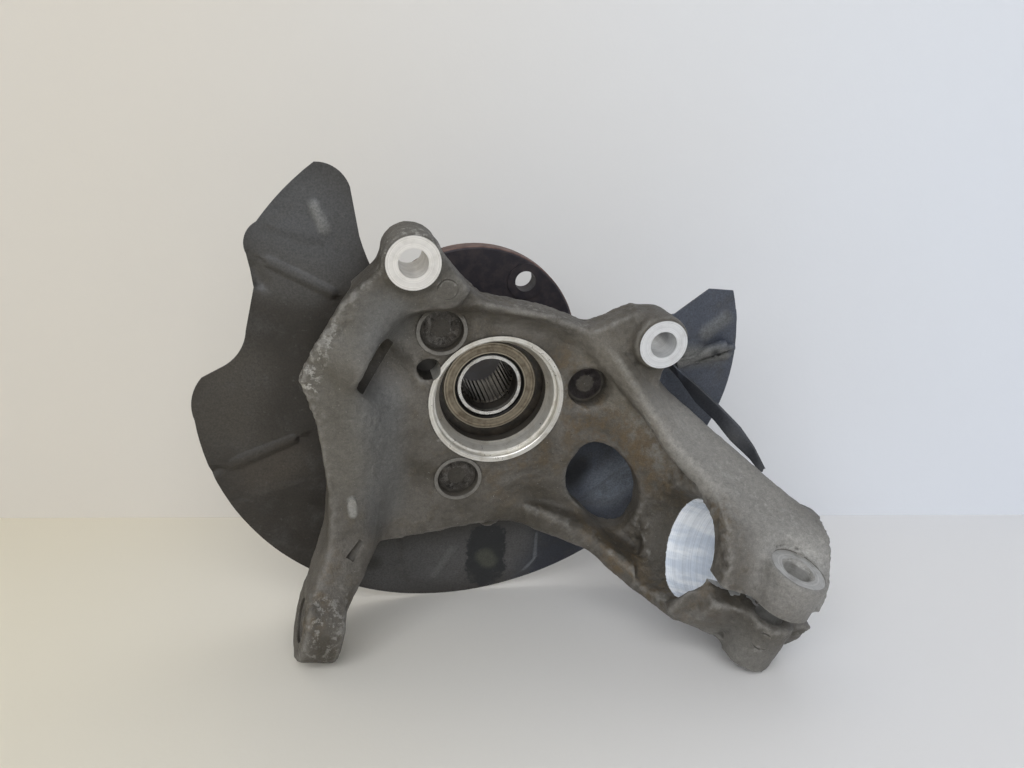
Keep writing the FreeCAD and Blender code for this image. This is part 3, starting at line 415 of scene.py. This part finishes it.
# Caliper ears: spotface, then the bright disc.
for x, z in EAR_PLACES:
    bm = bmesh.new()
    rod(bm, (x, EAR_FACE, z), (x, EAR_FACE - 8, z), 17.4)
    shaped(knuckle, bm, "DIFFERENCE")
    bm = bmesh.new()
    rod(bm, (x, EAR_FACE + 8, z), (x, EAR_FACE - 0.5, z), EAR_DISC + 0.2, EAR_DISC)
    shaped(knuckle, bm, "UNION")
# Holes of the ears, the bearing bolts, the sensor, the ball joint and the track rod; packed dirt narrows the
# bottom of the bolts' counterbores round their heads.
COUNTERBORE, DIRT_RING = 11.75, 10.85
bm = bmesh.new()
for x, z in EAR_PLACES:
    rod(bm, (x, EAR_FACE - 6, z), (x, EAR_FACE + 36, z), EAR_HOLE)
for turn in BOLT_TURNS:
    rod(bm, round_wheel(BOLT_CIRCLE, turn, -14), round_wheel(BOLT_CIRCLE, turn, 5.7), COUNTERBORE)
    rod(bm, round_wheel(BOLT_CIRCLE, turn, 5.0), round_wheel(BOLT_CIRCLE, turn, 16.3), DIRT_RING)
    rod(bm, round_wheel(BOLT_CIRCLE, turn, 10), round_wheel(BOLT_CIRCLE, turn, 40), 6.4)
rod(bm, (-38.0, -8, 20.0), (-38.0, 14.8, 20.0), 6.2)
rod(bm, BALL_SEAT - BALL_WAY * 27.6, BALL_SEAT - BALL_WAY * 33.0, 16.0)
rod(bm, BALL_SEAT + BALL_WAY * 0.5, BALL_SEAT - BALL_WAY * 32.0, 9.6, 7.6)
rod(bm, LUG_FACE + LUG_WAY * 0.5, LUG_FACE - LUG_WAY * 26.0, 8.6, 7.0)
rod(bm, LUG_FACE - LUG_WAY * 2.0, LUG_FACE + LUG_WAY * 6.0, 12.0)
rod(bm, (-84.4, -27.0, -78.0), (-76.8, -22.4, -70.0), 2.6, 2.2)
shaped(knuckle, bm, "DIFFERENCE")
# Strut bore, pinch bolt hole with its spotface, and the slit.
bm = bmesh.new()
rod(bm, at_clamp(-9, 0, 0), at_clamp(72, 0, 0), 27.6, sides=128)
shaped(knuckle, bm, "DIFFERENCE")
bm = bmesh.new()
rod(bm, at_clamp(PINCH_ALONG, PINCH_OUT, -40), at_clamp(PINCH_ALONG, PINCH_OUT, 40), 7.3)
rod(bm, at_clamp(PINCH_ALONG, PINCH_OUT, 28.6), at_clamp(PINCH_ALONG, PINCH_OUT, 42), 14.6)
shaped(knuckle, bm, "DIFFERENCE")
bm = bmesh.new()
block(bm, at_clamp(30, 30, 5.5), (CLAMP_WAY, SLIT_WAY, PINCH_WAY), (120, 60, 5.0))
shaped(knuckle, bm, "DIFFERENCE")
# Round ejector marks on the front ear's root and under the clamp.
up = Vector((0, 0, 1))
for middle, way in (((-30.9, -15.3, 69.8), (0, 1, 0)), ((120.9, -109.3, -93.7), (0.48, 0.88, 0.0))):
    way = Vector(way).normalized()
    shaped(knuckle, hoop(5.2, 0.6, Vector(middle), way.cross(up), way, up), "DIFFERENCE")


def in_axes(tree, matrix):
    """Object coordinates turned and moved into another set of axes, still in metres."""
    turn = matrix.inverted()
    return put(tree, "Mapping", {"Vector": put(tree, "TexCoord").outputs["Object"],
                                 "Location": turn.translation, "Rotation": turn.to_euler()}).outputs[0]


def off_centre(tree, x, y):
    """Distance from an axis, from the two coordinates across it."""
    flat = put(tree, "CombineXYZ", {0: x, 1: y}).outputs[0]
    return put(tree, "VectorMath", {0: flat}, operation="LENGTH").outputs["Value"]


def near(tree, first, last, reach, soft=0.4):
    """A share that is 1 along a line in the wheel's axes and fades to 0 at a reach in millimetres."""
    start, way = spot(*first), spot(*last) - spot(*first)
    place = put(tree, "TexCoord").outputs["Object"]
    step = put(tree, "VectorMath", {0: place, 1: start}, operation="SUBTRACT").outputs[0]
    if way.length > 0:
        along = put(tree, "VectorMath", {0: step, 1: way / way.length_squared},
                    operation="DOT_PRODUCT").outputs["Value"]
        share = put(tree, "Clamp", {0: along}).outputs[0]
        foot = put(tree, "VectorMath", {0: way, "Scale": share}, operation="SCALE").outputs[0]
        step = put(tree, "VectorMath", {0: step, 1: foot}, operation="SUBTRACT").outputs[0]
    gap = put(tree, "VectorMath", {0: step}, operation="LENGTH").outputs["Value"]
    return spread(tree, gap, reach * soft / 1000.0, reach / 1000.0, 1.0, 0.0)


def patch(tree, colour, other, first, last, reach, share=1.0, soft=0.4):
    """Lay another colour along a line."""
    return tint(tree, work(tree, "MULTIPLY", near(tree, first, last, reach, soft), share), colour, other)


def shaded(tree, colour, value):
    """Darken or lighten a colour by a value round 1."""
    return put(tree, "VectorMath", {0: colour, "Scale": value}, operation="SCALE").outputs[0]


cast_finish, tree, shader = blank_finish("cast_skin", Metallic=0.2, Roughness=0.6)
broad = grain(tree, 24.0, 5.0, 0.62, 0.6)
middle = grain(tree, 120.0, 6.0, 0.68)
coarse = grain(tree, 420.0, 5.0, 0.7)
fine = grain(tree, 1300.0, 4.0, 0.75)
edge = put(tree, "NewGeometry").outputs["Pointiness"]
blots = spread(tree, middle, 0.40, 0.62)
colour = tint(tree, spread(tree, broad, 0.35, 0.65), (0.058, 0.050, 0.038), (0.118, 0.107, 0.092))
colour = tint(tree, spread(tree, middle, 0.50, 0.68, 0.0, 0.5), colour, (0.092, 0.076, 0.052))
# Lighter grey along the left rib and over the strut arm and the clamp: painted light where these faces turn
# towards the lamps.
for first, last, reach, other, share in (
        ((-62, -8, 55), (-66, -8, 0), 24, (0.150, 0.150, 0.146), 0.75),
        ((-66, -8, 0), (-64, -8, -60), 22, (0.140, 0.140, 0.135), 0.75),
        ((-92, -20, 60), (-86, -20, -30), 26, (0.135, 0.126, 0.108), 0.6),
        ((60, -12, 20), (100, -40, -20), 34, (0.165, 0.150, 0.124), 0.7),
        ((100, -40, -8), (150, -90, -40), 44, (0.280, 0.268, 0.246), 0.85),
        ((140, -100, -60), (160, -100, -70), 34, (0.360, 0.350, 0.328), 0.8),
        ((100, -80, -110), (130, -118, -124), 40, (0.190, 0.182, 0.164), 0.8),
        ((-50, -17, 96), (-30, -14, 72), 26, (0.120, 0.112, 0.098), 0.6)):
    colour = patch(tree, colour, other, first, last, reach, share, 0.25)
for first, last, reach, share in (  # brown stains
        ((60, 0, -20), (78, -20, -20), 30, 0.75), ((28, 0, -36), (10, 0, -50), 24, 0.5),
        ((72, -18, -30), (92, -40, -45), 26, 0.8), ((60, -15, -62), (70, -40, -88), 22, 0.8),
        ((38, 0, 20), (48, 0, -10), 20, 0.6), ((84, -60, -100), (100, -80, -84), 24, 0.6),
        ((-100, 0, 30), (-92, 0, -40), 14, 0.5), ((-92, -34, -70), (-108, -50, -100), 12, 0.6),
        ((104, -72, -34), (112, -88, -60), 12, 0.7)):
    colour = patch(tree, colour, (0.105, 0.074, 0.040), first, last, reach,
                   work(tree, "MULTIPLY", blots, share), 0.2)
chips = spread(tree, grain(tree, 260.0, 6.0, 0.7), 0.52, 0.60)
for first, last, reach, share in (  # edges knocked bright
        ((-96, -45, -98), (-106, -56, -120), 20, 0.4), ((-62, -17, 108), (-40, -17, 106), 10, 0.5),
        ((-30, -16, 100), (-62, -14, 90), 16, 0.6), ((-103, -14, 26), (-100, -14, 20), 7, 1.0),
        ((-90, -14, 50), (-104, -13, 20), 9, 0.6), ((120, -60, -20), (160, -96, -50), 20, 0.5),
        ((10, 0, 57), (50, -2, 40), 6, 0.5)):
    colour = patch(tree, colour, (0.36, 0.35, 0.32), first, last, reach,
                   work(tree, "MULTIPLY", chips, share), 0.3)
colour = patch(tree, colour, (0.300, 0.294, 0.270), (-81.7, -17, -55), (-81.7, -17, -47), 3.4, 0.75)
# Lighter on sharp convex edges: edge wear and painted highlight. Darker in the hollows: grime and painted
# shade.
colour = tint(tree, spread(tree, edge, 0.505, 0.545, 0.0, 0.55), colour, (0.235, 0.225, 0.205))
colour = tint(tree, spread(tree, edge, 0.495, 0.455, 0.0, 0.75), colour, (0.040, 0.035, 0.028))
pores = spread(tree, grain(tree, 330.0, 5.0, 0.8), 0.34, 0.27)
for first, last, reach in ((MOUTH_RING[4], MOUTH_RING[9], 14), (MOUTH_RING[9], MOUTH_RING[13], 14),
                           ((-46, 0, -14), (-42, 0, -34), 12)):
    colour = patch(tree, colour, (0.030, 0.022, 0.014), first, last, reach,
                   work(tree, "MULTIPLY", pores, 0.9), 0.6)
colour = shaded(tree, colour, spread(tree, coarse, 0.25, 0.75, 0.76, 1.20))
colour = shaded(tree, colour, spread(tree, fine, 0.25, 0.75, 0.80, 1.18))
specks = spread(tree, grain(tree, 800.0, 3.0, 0.8), 0.665, 0.72, 0.0, 0.7)
colour = tint(tree, specks, colour, (0.34, 0.33, 0.30))
paint(tree, shader, colour)
tree.links.new(spread(tree, coarse, 0.3, 0.7, 0.46, 0.70), shader.inputs["Roughness"])
bumps = work(tree, "ADD", work(tree, "MULTIPLY", middle, 0.7), work(tree, "MULTIPLY", coarse, 0.45))
raise_grain(tree, shader, work(tree, "ADD", bumps, work(tree, "MULTIPLY", fine, 0.12)), 0.7, 0.0016)


def machined(name, centre, way, colour, dull, rough, pitch=0.35, metal=1.0, highlight_bands=None):
    """Bright cut metal with turning lines round an axis, and painted highlight bands along it if asked."""
    finish, tree, shader = blank_finish(name, Metallic=metal, Roughness=rough)
    turn = Vector(way).to_track_quat("Z", "Y").to_matrix().to_4x4()
    axes = HUB @ Matrix.Translation(Vector(centre) / 1000.0) @ turn
    place = in_axes(tree, axes)
    x, y, z = put(tree, "SeparateXYZ", {0: place}).outputs
    radius = off_centre(tree, x, y)
    lines = put(tree, "TexNoise", {"Vector": put(tree, "CombineXYZ", {0: radius, 1: z}).outputs[0],
                                   "Scale": 1000.0 / pitch, "Detail": 3.0, "Roughness": 0.7}).outputs["Fac"]
    shown = tint(tree, spread(tree, grain(tree, 160.0, 5.0, 0.65), 0.42, 0.72, 0.0, 0.6), colour, dull)
    # Painted highlight streaks round the axis.
    if highlight_bands:
        angle = put(tree, "Math", {0: y, 1: x}, operation="ARCTAN2").outputs[0]
        place = put(tree, "CombineXYZ", {0: angle, 1: work(tree, "MULTIPLY", z, 6.0)}).outputs[0]
        highlight_streaks = put(tree, "TexNoise", {"Vector": place, "Scale": 2.6, "Detail": 4.0,
                                         "Roughness": 0.6}).outputs["Fac"]
        shown = tint(tree, spread(tree, highlight_streaks, 0.40, 0.62), shown, highlight_bands)
    shown = shaded(tree, shown, spread(tree, lines, 0.25, 0.75, 0.84, 1.14))
    paint(tree, shader, shown)
    tree.links.new(spread(tree, grain(tree, 300.0, 4.0), 0.3, 0.7, rough - 0.07, rough + 0.1),
                   shader.inputs["Roughness"])
    raise_grain(tree, shader, lines, 0.35, 0.00012)
    return finish


seat_finish = machined("machined_seat", (0, 0, 0), (0, 1, 0), (0.66, 0.64, 0.59), (0.42, 0.38, 0.31),
                       0.34, 0.5, 0.7)
front_ear_finish = machined("machined_front_ear", (-48.4, 0, 84.5), (0, 1, 0),
                            (0.72, 0.70, 0.67), (0.56, 0.54, 0.50), 0.42, 0.6, 0.6)
rear_ear_finish = machined("machined_rear_ear", (87.2, 0, 37.1), (0, 1, 0),
                           (0.74, 0.745, 0.75), (0.58, 0.58, 0.57), 0.42, 0.6, 0.6)
# The strut bore is near white and not metallic: a painted reflection of the window light, with painted
# highlight bands along it.
strut_bore_reflection_finish = machined("machined_strut_bore_painted_reflection", CLAMP_MOUTH, CLAMP_WAY,
                        (0.93, 0.95, 0.97), (0.80, 0.83, 0.86), 0.24, 0.9, 0.0, (0.66, 0.71, 0.78))
pinch_finish = machined("machined_pinch_face", at_clamp(PINCH_ALONG, PINCH_OUT, 0), PINCH_WAY,
                        (0.46, 0.45, 0.43), (0.22, 0.21, 0.19), 0.42, 0.5, 0.5)
# Nearly black: painted shade inside the sensor hole, the bolt counterbores and the back of the bearing bore.
hole_shade_finish, tree, shader = blank_finish("painted_hole_shade", Roughness=0.45)
paint(tree, shader, tint(tree, grain(tree, 240.0, 5.0), (0.010, 0.009, 0.008), (0.030, 0.026, 0.021)))
raise_grain(tree, shader, grain(tree, 700.0, 4.0), 0.3, 0.0003)
knuckle.data.materials.clear()
for finish in (cast_finish, seat_finish, front_ear_finish, rear_ear_finish, strut_bore_reflection_finish, pinch_finish,
               hole_shade_finish):
    knuckle.data.materials.append(finish)


def off_axis(point, start, way):
    """Distance along and away from an axis."""
    step = point - start
    along = step.dot(way)
    return along, (step - way * along).length


# Finishes by place: 0 cast skin, 1 seat, 2 and 3 ears, 4 strut bore, 5 pinch bolt, 6 painted shade in the
# holes.
for face in knuckle.data.polygons:
    middle_point = TO_HUB @ face.center * 1000.0
    normal = TO_HUB.to_3x3() @ face.normal
    x, y, z = middle_point
    from_wheel = math.hypot(x, z)
    face.material_index = 0
    face.use_smooth = True
    if from_wheel < 38.35 and -0.3 < y < 18.6:
        # The back of the bearing bore gets the painted shade.
        face.material_index = 1 if y < 11.4 else 6
        continue
    for index, (ex, ez) in enumerate(EAR_PLACES):
        gap = math.hypot(x - ex, z - ez)
        if gap < EAR_DISC + 0.05 and abs(normal.y) > 0.95 and y < EAR_FACE + 1 or gap < EAR_HOLE + 0.1:
            face.material_index = 2 + index
    # Painted shade in the sensor hole and down the bolt counterbores.
    if math.hypot(x + 38.0, z - 20.0) < 6.25 and y > 0.4 or y > 6.0 and from_wheel < 66.0 and any(
            (middle_point - round_wheel(BOLT_CIRCLE, turn, y)).length < 11.8 for turn in BOLT_TURNS):
        face.material_index = 6
    along, gap = off_axis(middle_point, BALL_SEAT, BALL_WAY)
    if gap < 16.1 and abs(along + 27.6) < 0.05:
        face.material_index = 1
    along, gap = off_axis(middle_point, CLAMP_MOUTH, CLAMP_WAY)
    if gap < 27.65 and along > -12.0:
        face.material_index = 4
    along, gap = off_axis(middle_point, at_clamp(PINCH_ALONG, PINCH_OUT, 0), PINCH_WAY)
    if gap < 7.4 or gap < 14.7 and abs(along - 28.6) < 0.05:
        face.material_index = 5
knuckle.data.set_sharp_from_angle(angle=math.radians(32))
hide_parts("knuckle")
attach(knuckle, "carrier")

# Bearing rings, balls and cages.
# Ground and hardened bearing steel; the rings are dull where they face the air. The cages are dark moulded
# plastic.
ring_finish, tree, shader = blank_finish("ground_ring_steel", Metallic=0.8, Roughness=0.4)
x, y, z = put(tree, "SeparateXYZ", {0: in_axes(tree, HUB)}).outputs
radius = off_centre(tree, x, z)
grooves = put(tree, "TexNoise", {"Vector": put(tree, "CombineXYZ", {0: radius}).outputs[0], "Scale": 900.0,
                                 "Detail": 4.0}).outputs["Fac"]
stain = grain(tree, 190.0, 5.0, 0.68)
colour = tint(tree, spread(tree, stain, 0.4, 0.7), (0.250, 0.215, 0.160), (0.140, 0.112, 0.078))
colour = shaded(tree, colour, spread(tree, grooves, 0.35, 0.65, 0.6, 1.35))
# Thin rings on the faces: the dark ones are painted shade in the gaps between the rings, the light ones
# painted highlights on their edges.
for inner, outer, other in ((0.0194, 0.0206, (0.008, 0.007, 0.006)), (0.0266, 0.0274, (0.36, 0.32, 0.25)),
                            (0.0208, 0.0212, (0.34, 0.30, 0.23)), (0.0284, 0.0286, (0.010, 0.009, 0.008))):
    band = work(tree, "MULTIPLY", spread(tree, radius, inner - 0.0003, inner),
                spread(tree, radius, outer, outer + 0.0003, 1.0, 0.0))
    colour = tint(tree, band, colour, other)
paint(tree, shader, colour)
tree.links.new(spread(tree, stain, 0.3, 0.7, 0.32, 0.55), shader.inputs["Roughness"])
raise_grain(tree, shader, work(tree, "ADD", grooves, stain), 0.3, 0.0003)
ball_finish, tree, shader = blank_finish("polished_ball_steel", Metallic=1.0, Roughness=0.12)
paint(tree, shader, tint(tree, grain(tree, 300.0, 3.0), (0.62, 0.62, 0.62), (0.70, 0.69, 0.67)))
cage_finish, tree, shader = blank_finish("cage_plastic", Roughness=0.5)
paint(tree, shader, tint(tree, grain(tree, 420.0, 3.0), (0.030, 0.028, 0.025), (0.055, 0.050, 0.042)))
raise_grain(tree, shader, grain(tree, 1500.0, 3.0), 0.2, 0.0001)


def dress(name, finish):
    """Give a CAD piece its finish."""
    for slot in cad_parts[name].material_slots:
        slot.material = finish


for name, finish in (("bearing_outer_ring", ring_finish), ("bearing_inner_ring", ring_finish),
                     ("balls_inboard", ball_finish), ("balls_outboard", ball_finish),
                     ("cage_inboard", cage_finish), ("cage_outboard", cage_finish)):
    dress(name, finish)

# Seals and encoder ring.
# Nitrile rubber lips in the outer ring, and the brown-black magnetic rubber ring that the speed sensor reads.
seal_finish, tree, shader = blank_finish("seal_rubber", Roughness=0.55)
dirt = spread(tree, grain(tree, 260.0, 5.0, 0.7), 0.45, 0.7)
paint(tree, shader, tint(tree, dirt, (0.008, 0.007, 0.006), (0.022, 0.018, 0.014)))
raise_grain(tree, shader, grain(tree, 900.0, 4.0), 0.3, 0.0002)
encoder_finish, tree, shader = blank_finish("encoder_rubber", Metallic=0.2, Roughness=0.42)
dirt = spread(tree, grain(tree, 210.0, 6.0, 0.7), 0.35, 0.65)
paint(tree, shader, tint(tree, dirt, (0.016, 0.014, 0.011), (0.042, 0.034, 0.025)))
raise_grain(tree, shader, grain(tree, 700.0, 4.0), 0.25, 0.0002)
dress("seal_inboard", seal_finish)
dress("seal_outboard", seal_finish)
dress("encoder_ring", encoder_finish)

# Wheel hub.
# Forged steel, turned bright at the spindle's end and in the splined bore; the flange has gone dark brown
# with a rusty rim.
hub_finish, tree, shader = blank_finish("hub_steel", Metallic=0.9, Roughness=0.38)
x, y, z = put(tree, "SeparateXYZ", {0: in_axes(tree, HUB)}).outputs
radius = off_centre(tree, x, z)
stain = grain(tree, 140.0, 6.0, 0.7)
turning = put(tree, "TexNoise", {"Vector": put(tree, "CombineXYZ", {0: radius, 1: y}).outputs[0],
                                 "Scale": 2400.0, "Detail": 3.0}).outputs["Fac"]
flange = spread(tree, y, 0.060, 0.068)
rim = spread(tree, radius, 0.0672, 0.0680)
bright = tint(tree, spread(tree, stain, 0.45, 0.7), (0.62, 0.61, 0.58), (0.34, 0.31, 0.26))
bright = tint(tree, spread(tree, y, 0.0235, 0.0255), bright, (0.16, 0.145, 0.125))
bright = patch(tree, bright, (0.62, 0.53, 0.36), (-10, 50, 9), (-6, 62, 12), 15, 0.9, 0.5)
dark = tint(tree, spread(tree, stain, 0.4, 0.68), (0.027, 0.024, 0.030), (0.050, 0.040, 0.042))
rusty = tint(tree, spread(tree, stain, 0.35, 0.65), (0.10, 0.055, 0.045), (0.20, 0.13, 0.11))
colour = tint(tree, flange, bright, tint(tree, rim, dark, rusty))
paint(tree, shader, colour)
dullness = work(tree, "ADD", spread(tree, stain, 0.3, 0.7, 0.26, 0.42), work(tree, "MULTIPLY", flange, 0.22))
tree.links.new(dullness, shader.inputs["Roughness"])
tree.links.new(spread(tree, flange, 0.0, 1.0, 1.0, 0.35), shader.inputs["Metallic"])
raise_grain(tree, shader, work(tree, "ADD", turning, stain), 0.25, 0.0002)
dress("hub", hub_finish)

# Bearing bolts.
# Three zinc-flaked steel bolts with toothed sockets, greyed by dirt, sunk in counterbores of the knuckle.
bolt_finish, tree, shader = blank_finish("bolt_steel", Metallic=0.6, Roughness=0.5)
stain = grain(tree, 230.0, 6.0, 0.7)
colour = tint(tree, spread(tree, stain, 0.4, 0.68), (0.135, 0.126, 0.115), (0.078, 0.067, 0.056))
colour = patch(tree, colour, (0.028, 0.022, 0.024), (52, 5, 6), (54, 5, 6), 22, 0.8, 0.8)
colour = shaded(tree, colour, spread(tree, grain(tree, 1500.0, 3.0), 0.3, 0.7, 0.75, 1.25))
paint(tree, shader, colour)
raise_grain(tree, shader, grain(tree, 800.0, 4.0), 0.35, 0.0003)
dress("bearing_bolts", bolt_finish)

# Dust shield.
# Pressed steel sheet, dished and beaded, black e-coat under road dust; the strap and the clip arm are
# welded on at the clamp's side.
SHEET_NET = 2.2
SHEET_FACE, DISH_DEPTH, DISH_START, DISH_WIDTH = 28.8, 5.2, 95.0, 55.0
CREASES = [  # two ends on the sheet, reach to the left and the right of the line, height towards inboard
    ((-118.5, 72.0), (-86.4, 55.5), 26.0, 3.5, 1.1), ((-113.5, 89.5), (-98.3, 84.3), 12.0, 3.0, 0.9),
    ((-94.0, 102.0), (-89.6, 90.4), 4.0, 4.0, 1.1), ((-128.0, 67.8), (-124.0, 60.3), 7.0, 4.0, -2.2),
    ((-148.8, -48.9), (-141.3, -45.5), 18.0, 3.5, 0.7), ((-141.3, -45.5), (-111.9, -31.7), 18.0, 3.5, 0.9),
    ((-137.6, -69.6), (-118.6, -63.3), 3.5, 20.0, 0.8), ((-118.6, -63.3), (-106.9, -65.6), 3.5, 20.0, 0.7),
    ((-158.0, -51.9), (-155.0, -50.0), 4.0, 4.0, -1.6), ((-50.9, -114.0), (-49.8, -124.1), 16.0, 2.6, 2.0),
    ((-49.8, -124.1), (-47.8, -134.3), 16.0, 2.6, 2.0), ((-47.8, -134.3), (-40.1, -140.2), 14.0, 2.6, 1.9),
    ((-40.1, -140.2), (-33.9, -139.6), 12.0, 2.6, 1.7), ((-18.5, -118.2), (-30.0, -138.7), 5.0, 5.0, 1.0),
    ((34.8, -110.4), (35.9, -123.9), 2.6, 14.0, 1.8), ((35.9, -123.9), (35.6, -133.9), 2.6, 14.0, 1.8),
    ((35.6, -133.9), (28.8, -140.9), 2.6, 14.0, 1.7), ((28.8, -140.9), (14.5, -140.7), 2.6, 12.0, 1.6),
    ((122.3, 11.3), (134.7, 8.0), 9.0, 5.0, 3.0), ((134.7, 8.0), (154.0, 8.0), 7.0, 5.0, 3.2),
    ((150.0, 33.0), (138.0, 24.0), 11.0, 6.0, 2.2), ((142.0, 12.5), (144.5, 9.0), 4.0, 4.0, -4.5),
    ((66.0, -84.0), (98.0, -58.0), 14.0, 2.6, 3.0), ((84.0, -92.0), (108.0, -74.0), 10.0, 3.0, 1.6),
]


def pressed(x, z):
    """How far the pressings lift the sheet at a place: steep on one side of each line, slow on the other."""
    lift = 0.0
    here = Vector((x, z))
    for first, last, left, right, height in CREASES:
        a, b = Vector(first), Vector(last)
        share = min(max((here - a).dot(b - a) / (b - a).length_squared, 0.0), 1.0)
        step = here - a.lerp(b, share)
        gap = step.length / (left if (b - a).cross(here - a) > 0 else right)
        if gap < 1.0:
            rise = height * (1.0 - gap * gap) ** 2
            lift = rise if abs(rise) > abs(lift) else lift
    return lift + 0.5 * noise.noise(Vector((x, z, 3.0)) / 38.0)


bm = bmesh.new()
bm.from_mesh(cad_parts["dust_shield"].data)
bmesh.ops.remove_doubles(bm, verts=bm.verts, dist=0.00001)
bmesh.ops.transform(bm, matrix=Matrix.Diagonal((1000.0, 1000.0, 1000.0, 1.0)) @ TO_HUB, verts=bm.verts)
for axis, low, high in (((1, 0, 0), -168, 165), ((0, 0, 1), -156, 125)):
    step = low
    while step < high:
        bmesh.ops.bisect_plane(bm, geom=bm.verts[:] + bm.edges[:] + bm.faces[:], plane_co=Vector(axis) * step,
                               plane_no=axis, dist=0.0005)
        step += SHEET_NET
strap = []
for vert in bm.verts:
    from_wheel = math.hypot(vert.co.x, vert.co.z)
    sheet_face = SHEET_FACE + DISH_DEPTH * min(max((from_wheel - DISH_START) / DISH_WIDTH, 0.0), 1.0)
    if -2.5 < vert.co.y - sheet_face < 1.4:
        vert.co.y -= pressed(vert.co.x, vert.co.z)
    elif vert.co.x > 108.0 and vert.co.y < 23.0 and vert.co.z < 9.0:
        strap.append(vert)
for _ in range(3):
    bmesh.ops.smooth_vert(bm, verts=strap, factor=0.5, use_axis_x=True, use_axis_y=True, use_axis_z=True)
bmesh.ops.transform(bm, matrix=HUB @ Matrix.Diagonal((0.001, 0.001, 0.001, 1.0)), verts=bm.verts)
shield_finish, tree, shader = blank_finish("shield_paint", Roughness=0.5)
broad = grain(tree, 14.0, 4.0, 0.6, 0.4)
dust = grain(tree, 55.0, 6.0, 0.7)
scuffs = grain(tree, 190.0, 6.0, 0.72)
speck = grain(tree, 900.0, 4.0, 0.75)
across = put(tree, "SeparateXYZ", {0: put(tree, "TexCoord").outputs["Object"]}).outputs[0]
# The sheet runs from warm black on the left to a lighter, bluer grey on the right: painted light where the
# sheet catches the cool light from the right.
warm = tint(tree, spread(tree, broad, 0.3, 0.7), (0.015, 0.012, 0.009), (0.025, 0.021, 0.017))
cool_painted_light = tint(tree, spread(tree, broad, 0.3, 0.7), (0.044, 0.051, 0.068), (0.060, 0.068, 0.088))
colour = tint(tree, spread(tree, across, 0.010, 0.080), warm, cool_painted_light)
for first, last, reach, other, share in (
        ((-112, 32, 104), (-96, 32, 92), 44, (0.054, 0.055, 0.057), 0.95),
        ((-120, 32, 66), (-100, 32, 62), 20, (0.060, 0.058, 0.055), 0.6),
        ((-150, 32, -20), (-140, 32, 10), 30, (0.052, 0.046, 0.038), 0.6),
        ((-134, 32, -56), (-116, 32, -46), 18, (0.050, 0.041, 0.032), 0.6),
        ((-60, 31, -130), (30, 31, -125), 34, (0.072, 0.070, 0.069), 0.85),
        ((60, 31, -108), (44, 31, -146), 30, (0.015, 0.018, 0.028), 0.9),
        # Seen through the opening in the casting: a light blue-grey patch, painted light on the sheet, and a
        # black oval, painted shade of the gap behind the hub.
        ((84, 30, -80), (100, 30, -66), 24, (0.150, 0.168, 0.195), 0.95),
        ((62, 30, -62), (57, 30, -70), 12, (0.010, 0.011, 0.013), 0.9),
        ((118, 28, 9), (150, 28, 8), 12, (0.135, 0.132, 0.118), 0.8),
        ((150, 30, 33), (138, 30, 24), 8, (0.13, 0.13, 0.12), 0.5),
        # A pale streak along the bead: a scuff with a painted highlight.
        ((-94, 31, 102), (-89.6, 31, 90.4), 5, (0.17, 0.17, 0.165), 0.7),
        ((-70, 31, -125.6), (-69, 31, -125), 9, (0.018, 0.016, 0.014), 0.8),
        # Thin pale lines along the beads' edges: painted highlights.
        ((-18.5, 31, -118.2), (-30, 31, -138.7), 4, (0.11, 0.11, 0.105), 0.5),
        ((36.6, 31, -112), (37.4, 31, -132), 2.2, (0.13, 0.14, 0.15), 0.8),
        ((37.4, 31, -132), (29, 31, -142.5), 2.2, (0.13, 0.14, 0.15), 0.8),
        ((122, 12, -4), (158, -24, -44), 13, (0.018, 0.019, 0.022), 0.9),
        ((144.0, 30, 11.5), (144.6, 30, 10.5), 4.5, (0.006, 0.006, 0.007), 1.0)):
    colour = patch(tree, colour, other, first, last, reach, share, 0.25)
for x, z in ((154.7, 35.6), (157.0, 29.6), (147.0, 19.4), (156.7, 15.0)):
    colour = patch(tree, colour, (0.34, 0.35, 0.36), (x, 31, z), (x, 31, z), 2.0, 0.9)
drip = work(tree, "MULTIPLY", near(tree, (4, 31, -113), (4, 31, -140), 22, 0.2), 0.6)
oil = spread(tree, work(tree, "ADD", drip, work(tree, "MULTIPLY", scuffs, 0.7)), 0.62, 0.72)
colour = tint(tree, oil, colour, (0.010, 0.011, 0.012))
colour = patch(tree, colour, (0.060, 0.062, 0.045), (3, 31, -126), (6, 31, -131), 8, 0.7)
colour = tint(tree, spread(tree, dust, 0.48, 0.70, 0.0, 0.5), colour, (0.055, 0.052, 0.048))
colour = tint(tree, spread(tree, scuffs, 0.60, 0.72, 0.0, 0.3), colour, (0.11, 0.11, 0.107))
colour = shaded(tree, colour, spread(tree, speck, 0.25, 0.75, 0.62, 1.38))
paint(tree, shader, colour)
tree.links.new(spread(tree, dust, 0.3, 0.7, 0.38, 0.62), shader.inputs["Roughness"])
raise_grain(tree, shader, work(tree, "ADD", dust, work(tree, "MULTIPLY", speck, 0.4)), 0.35, 0.0007)
shield = piece_from("shield_pressing", bm, shield_finish, "carrier")
for face in shield.data.polygons:
    face.use_smooth = True
shield.data.set_sharp_from_angle(angle=math.radians(32))
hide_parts("dust_shield")

# Shield screws.
# Three small zinc-plated flanged hexagon screws, put in from the outboard side.
screw_finish, tree, shader = blank_finish("screw_zinc", Metallic=0.9, Roughness=0.45)
rust = spread(tree, grain(tree, 400.0, 5.0, 0.7), 0.4, 0.65)
paint(tree, shader, tint(tree, rust, (0.34, 0.33, 0.31), (0.16, 0.11, 0.08)))
raise_grain(tree, shader, grain(tree, 1200.0, 3.0), 0.25, 0.0002)
dress("shield_screws", screw_finish)
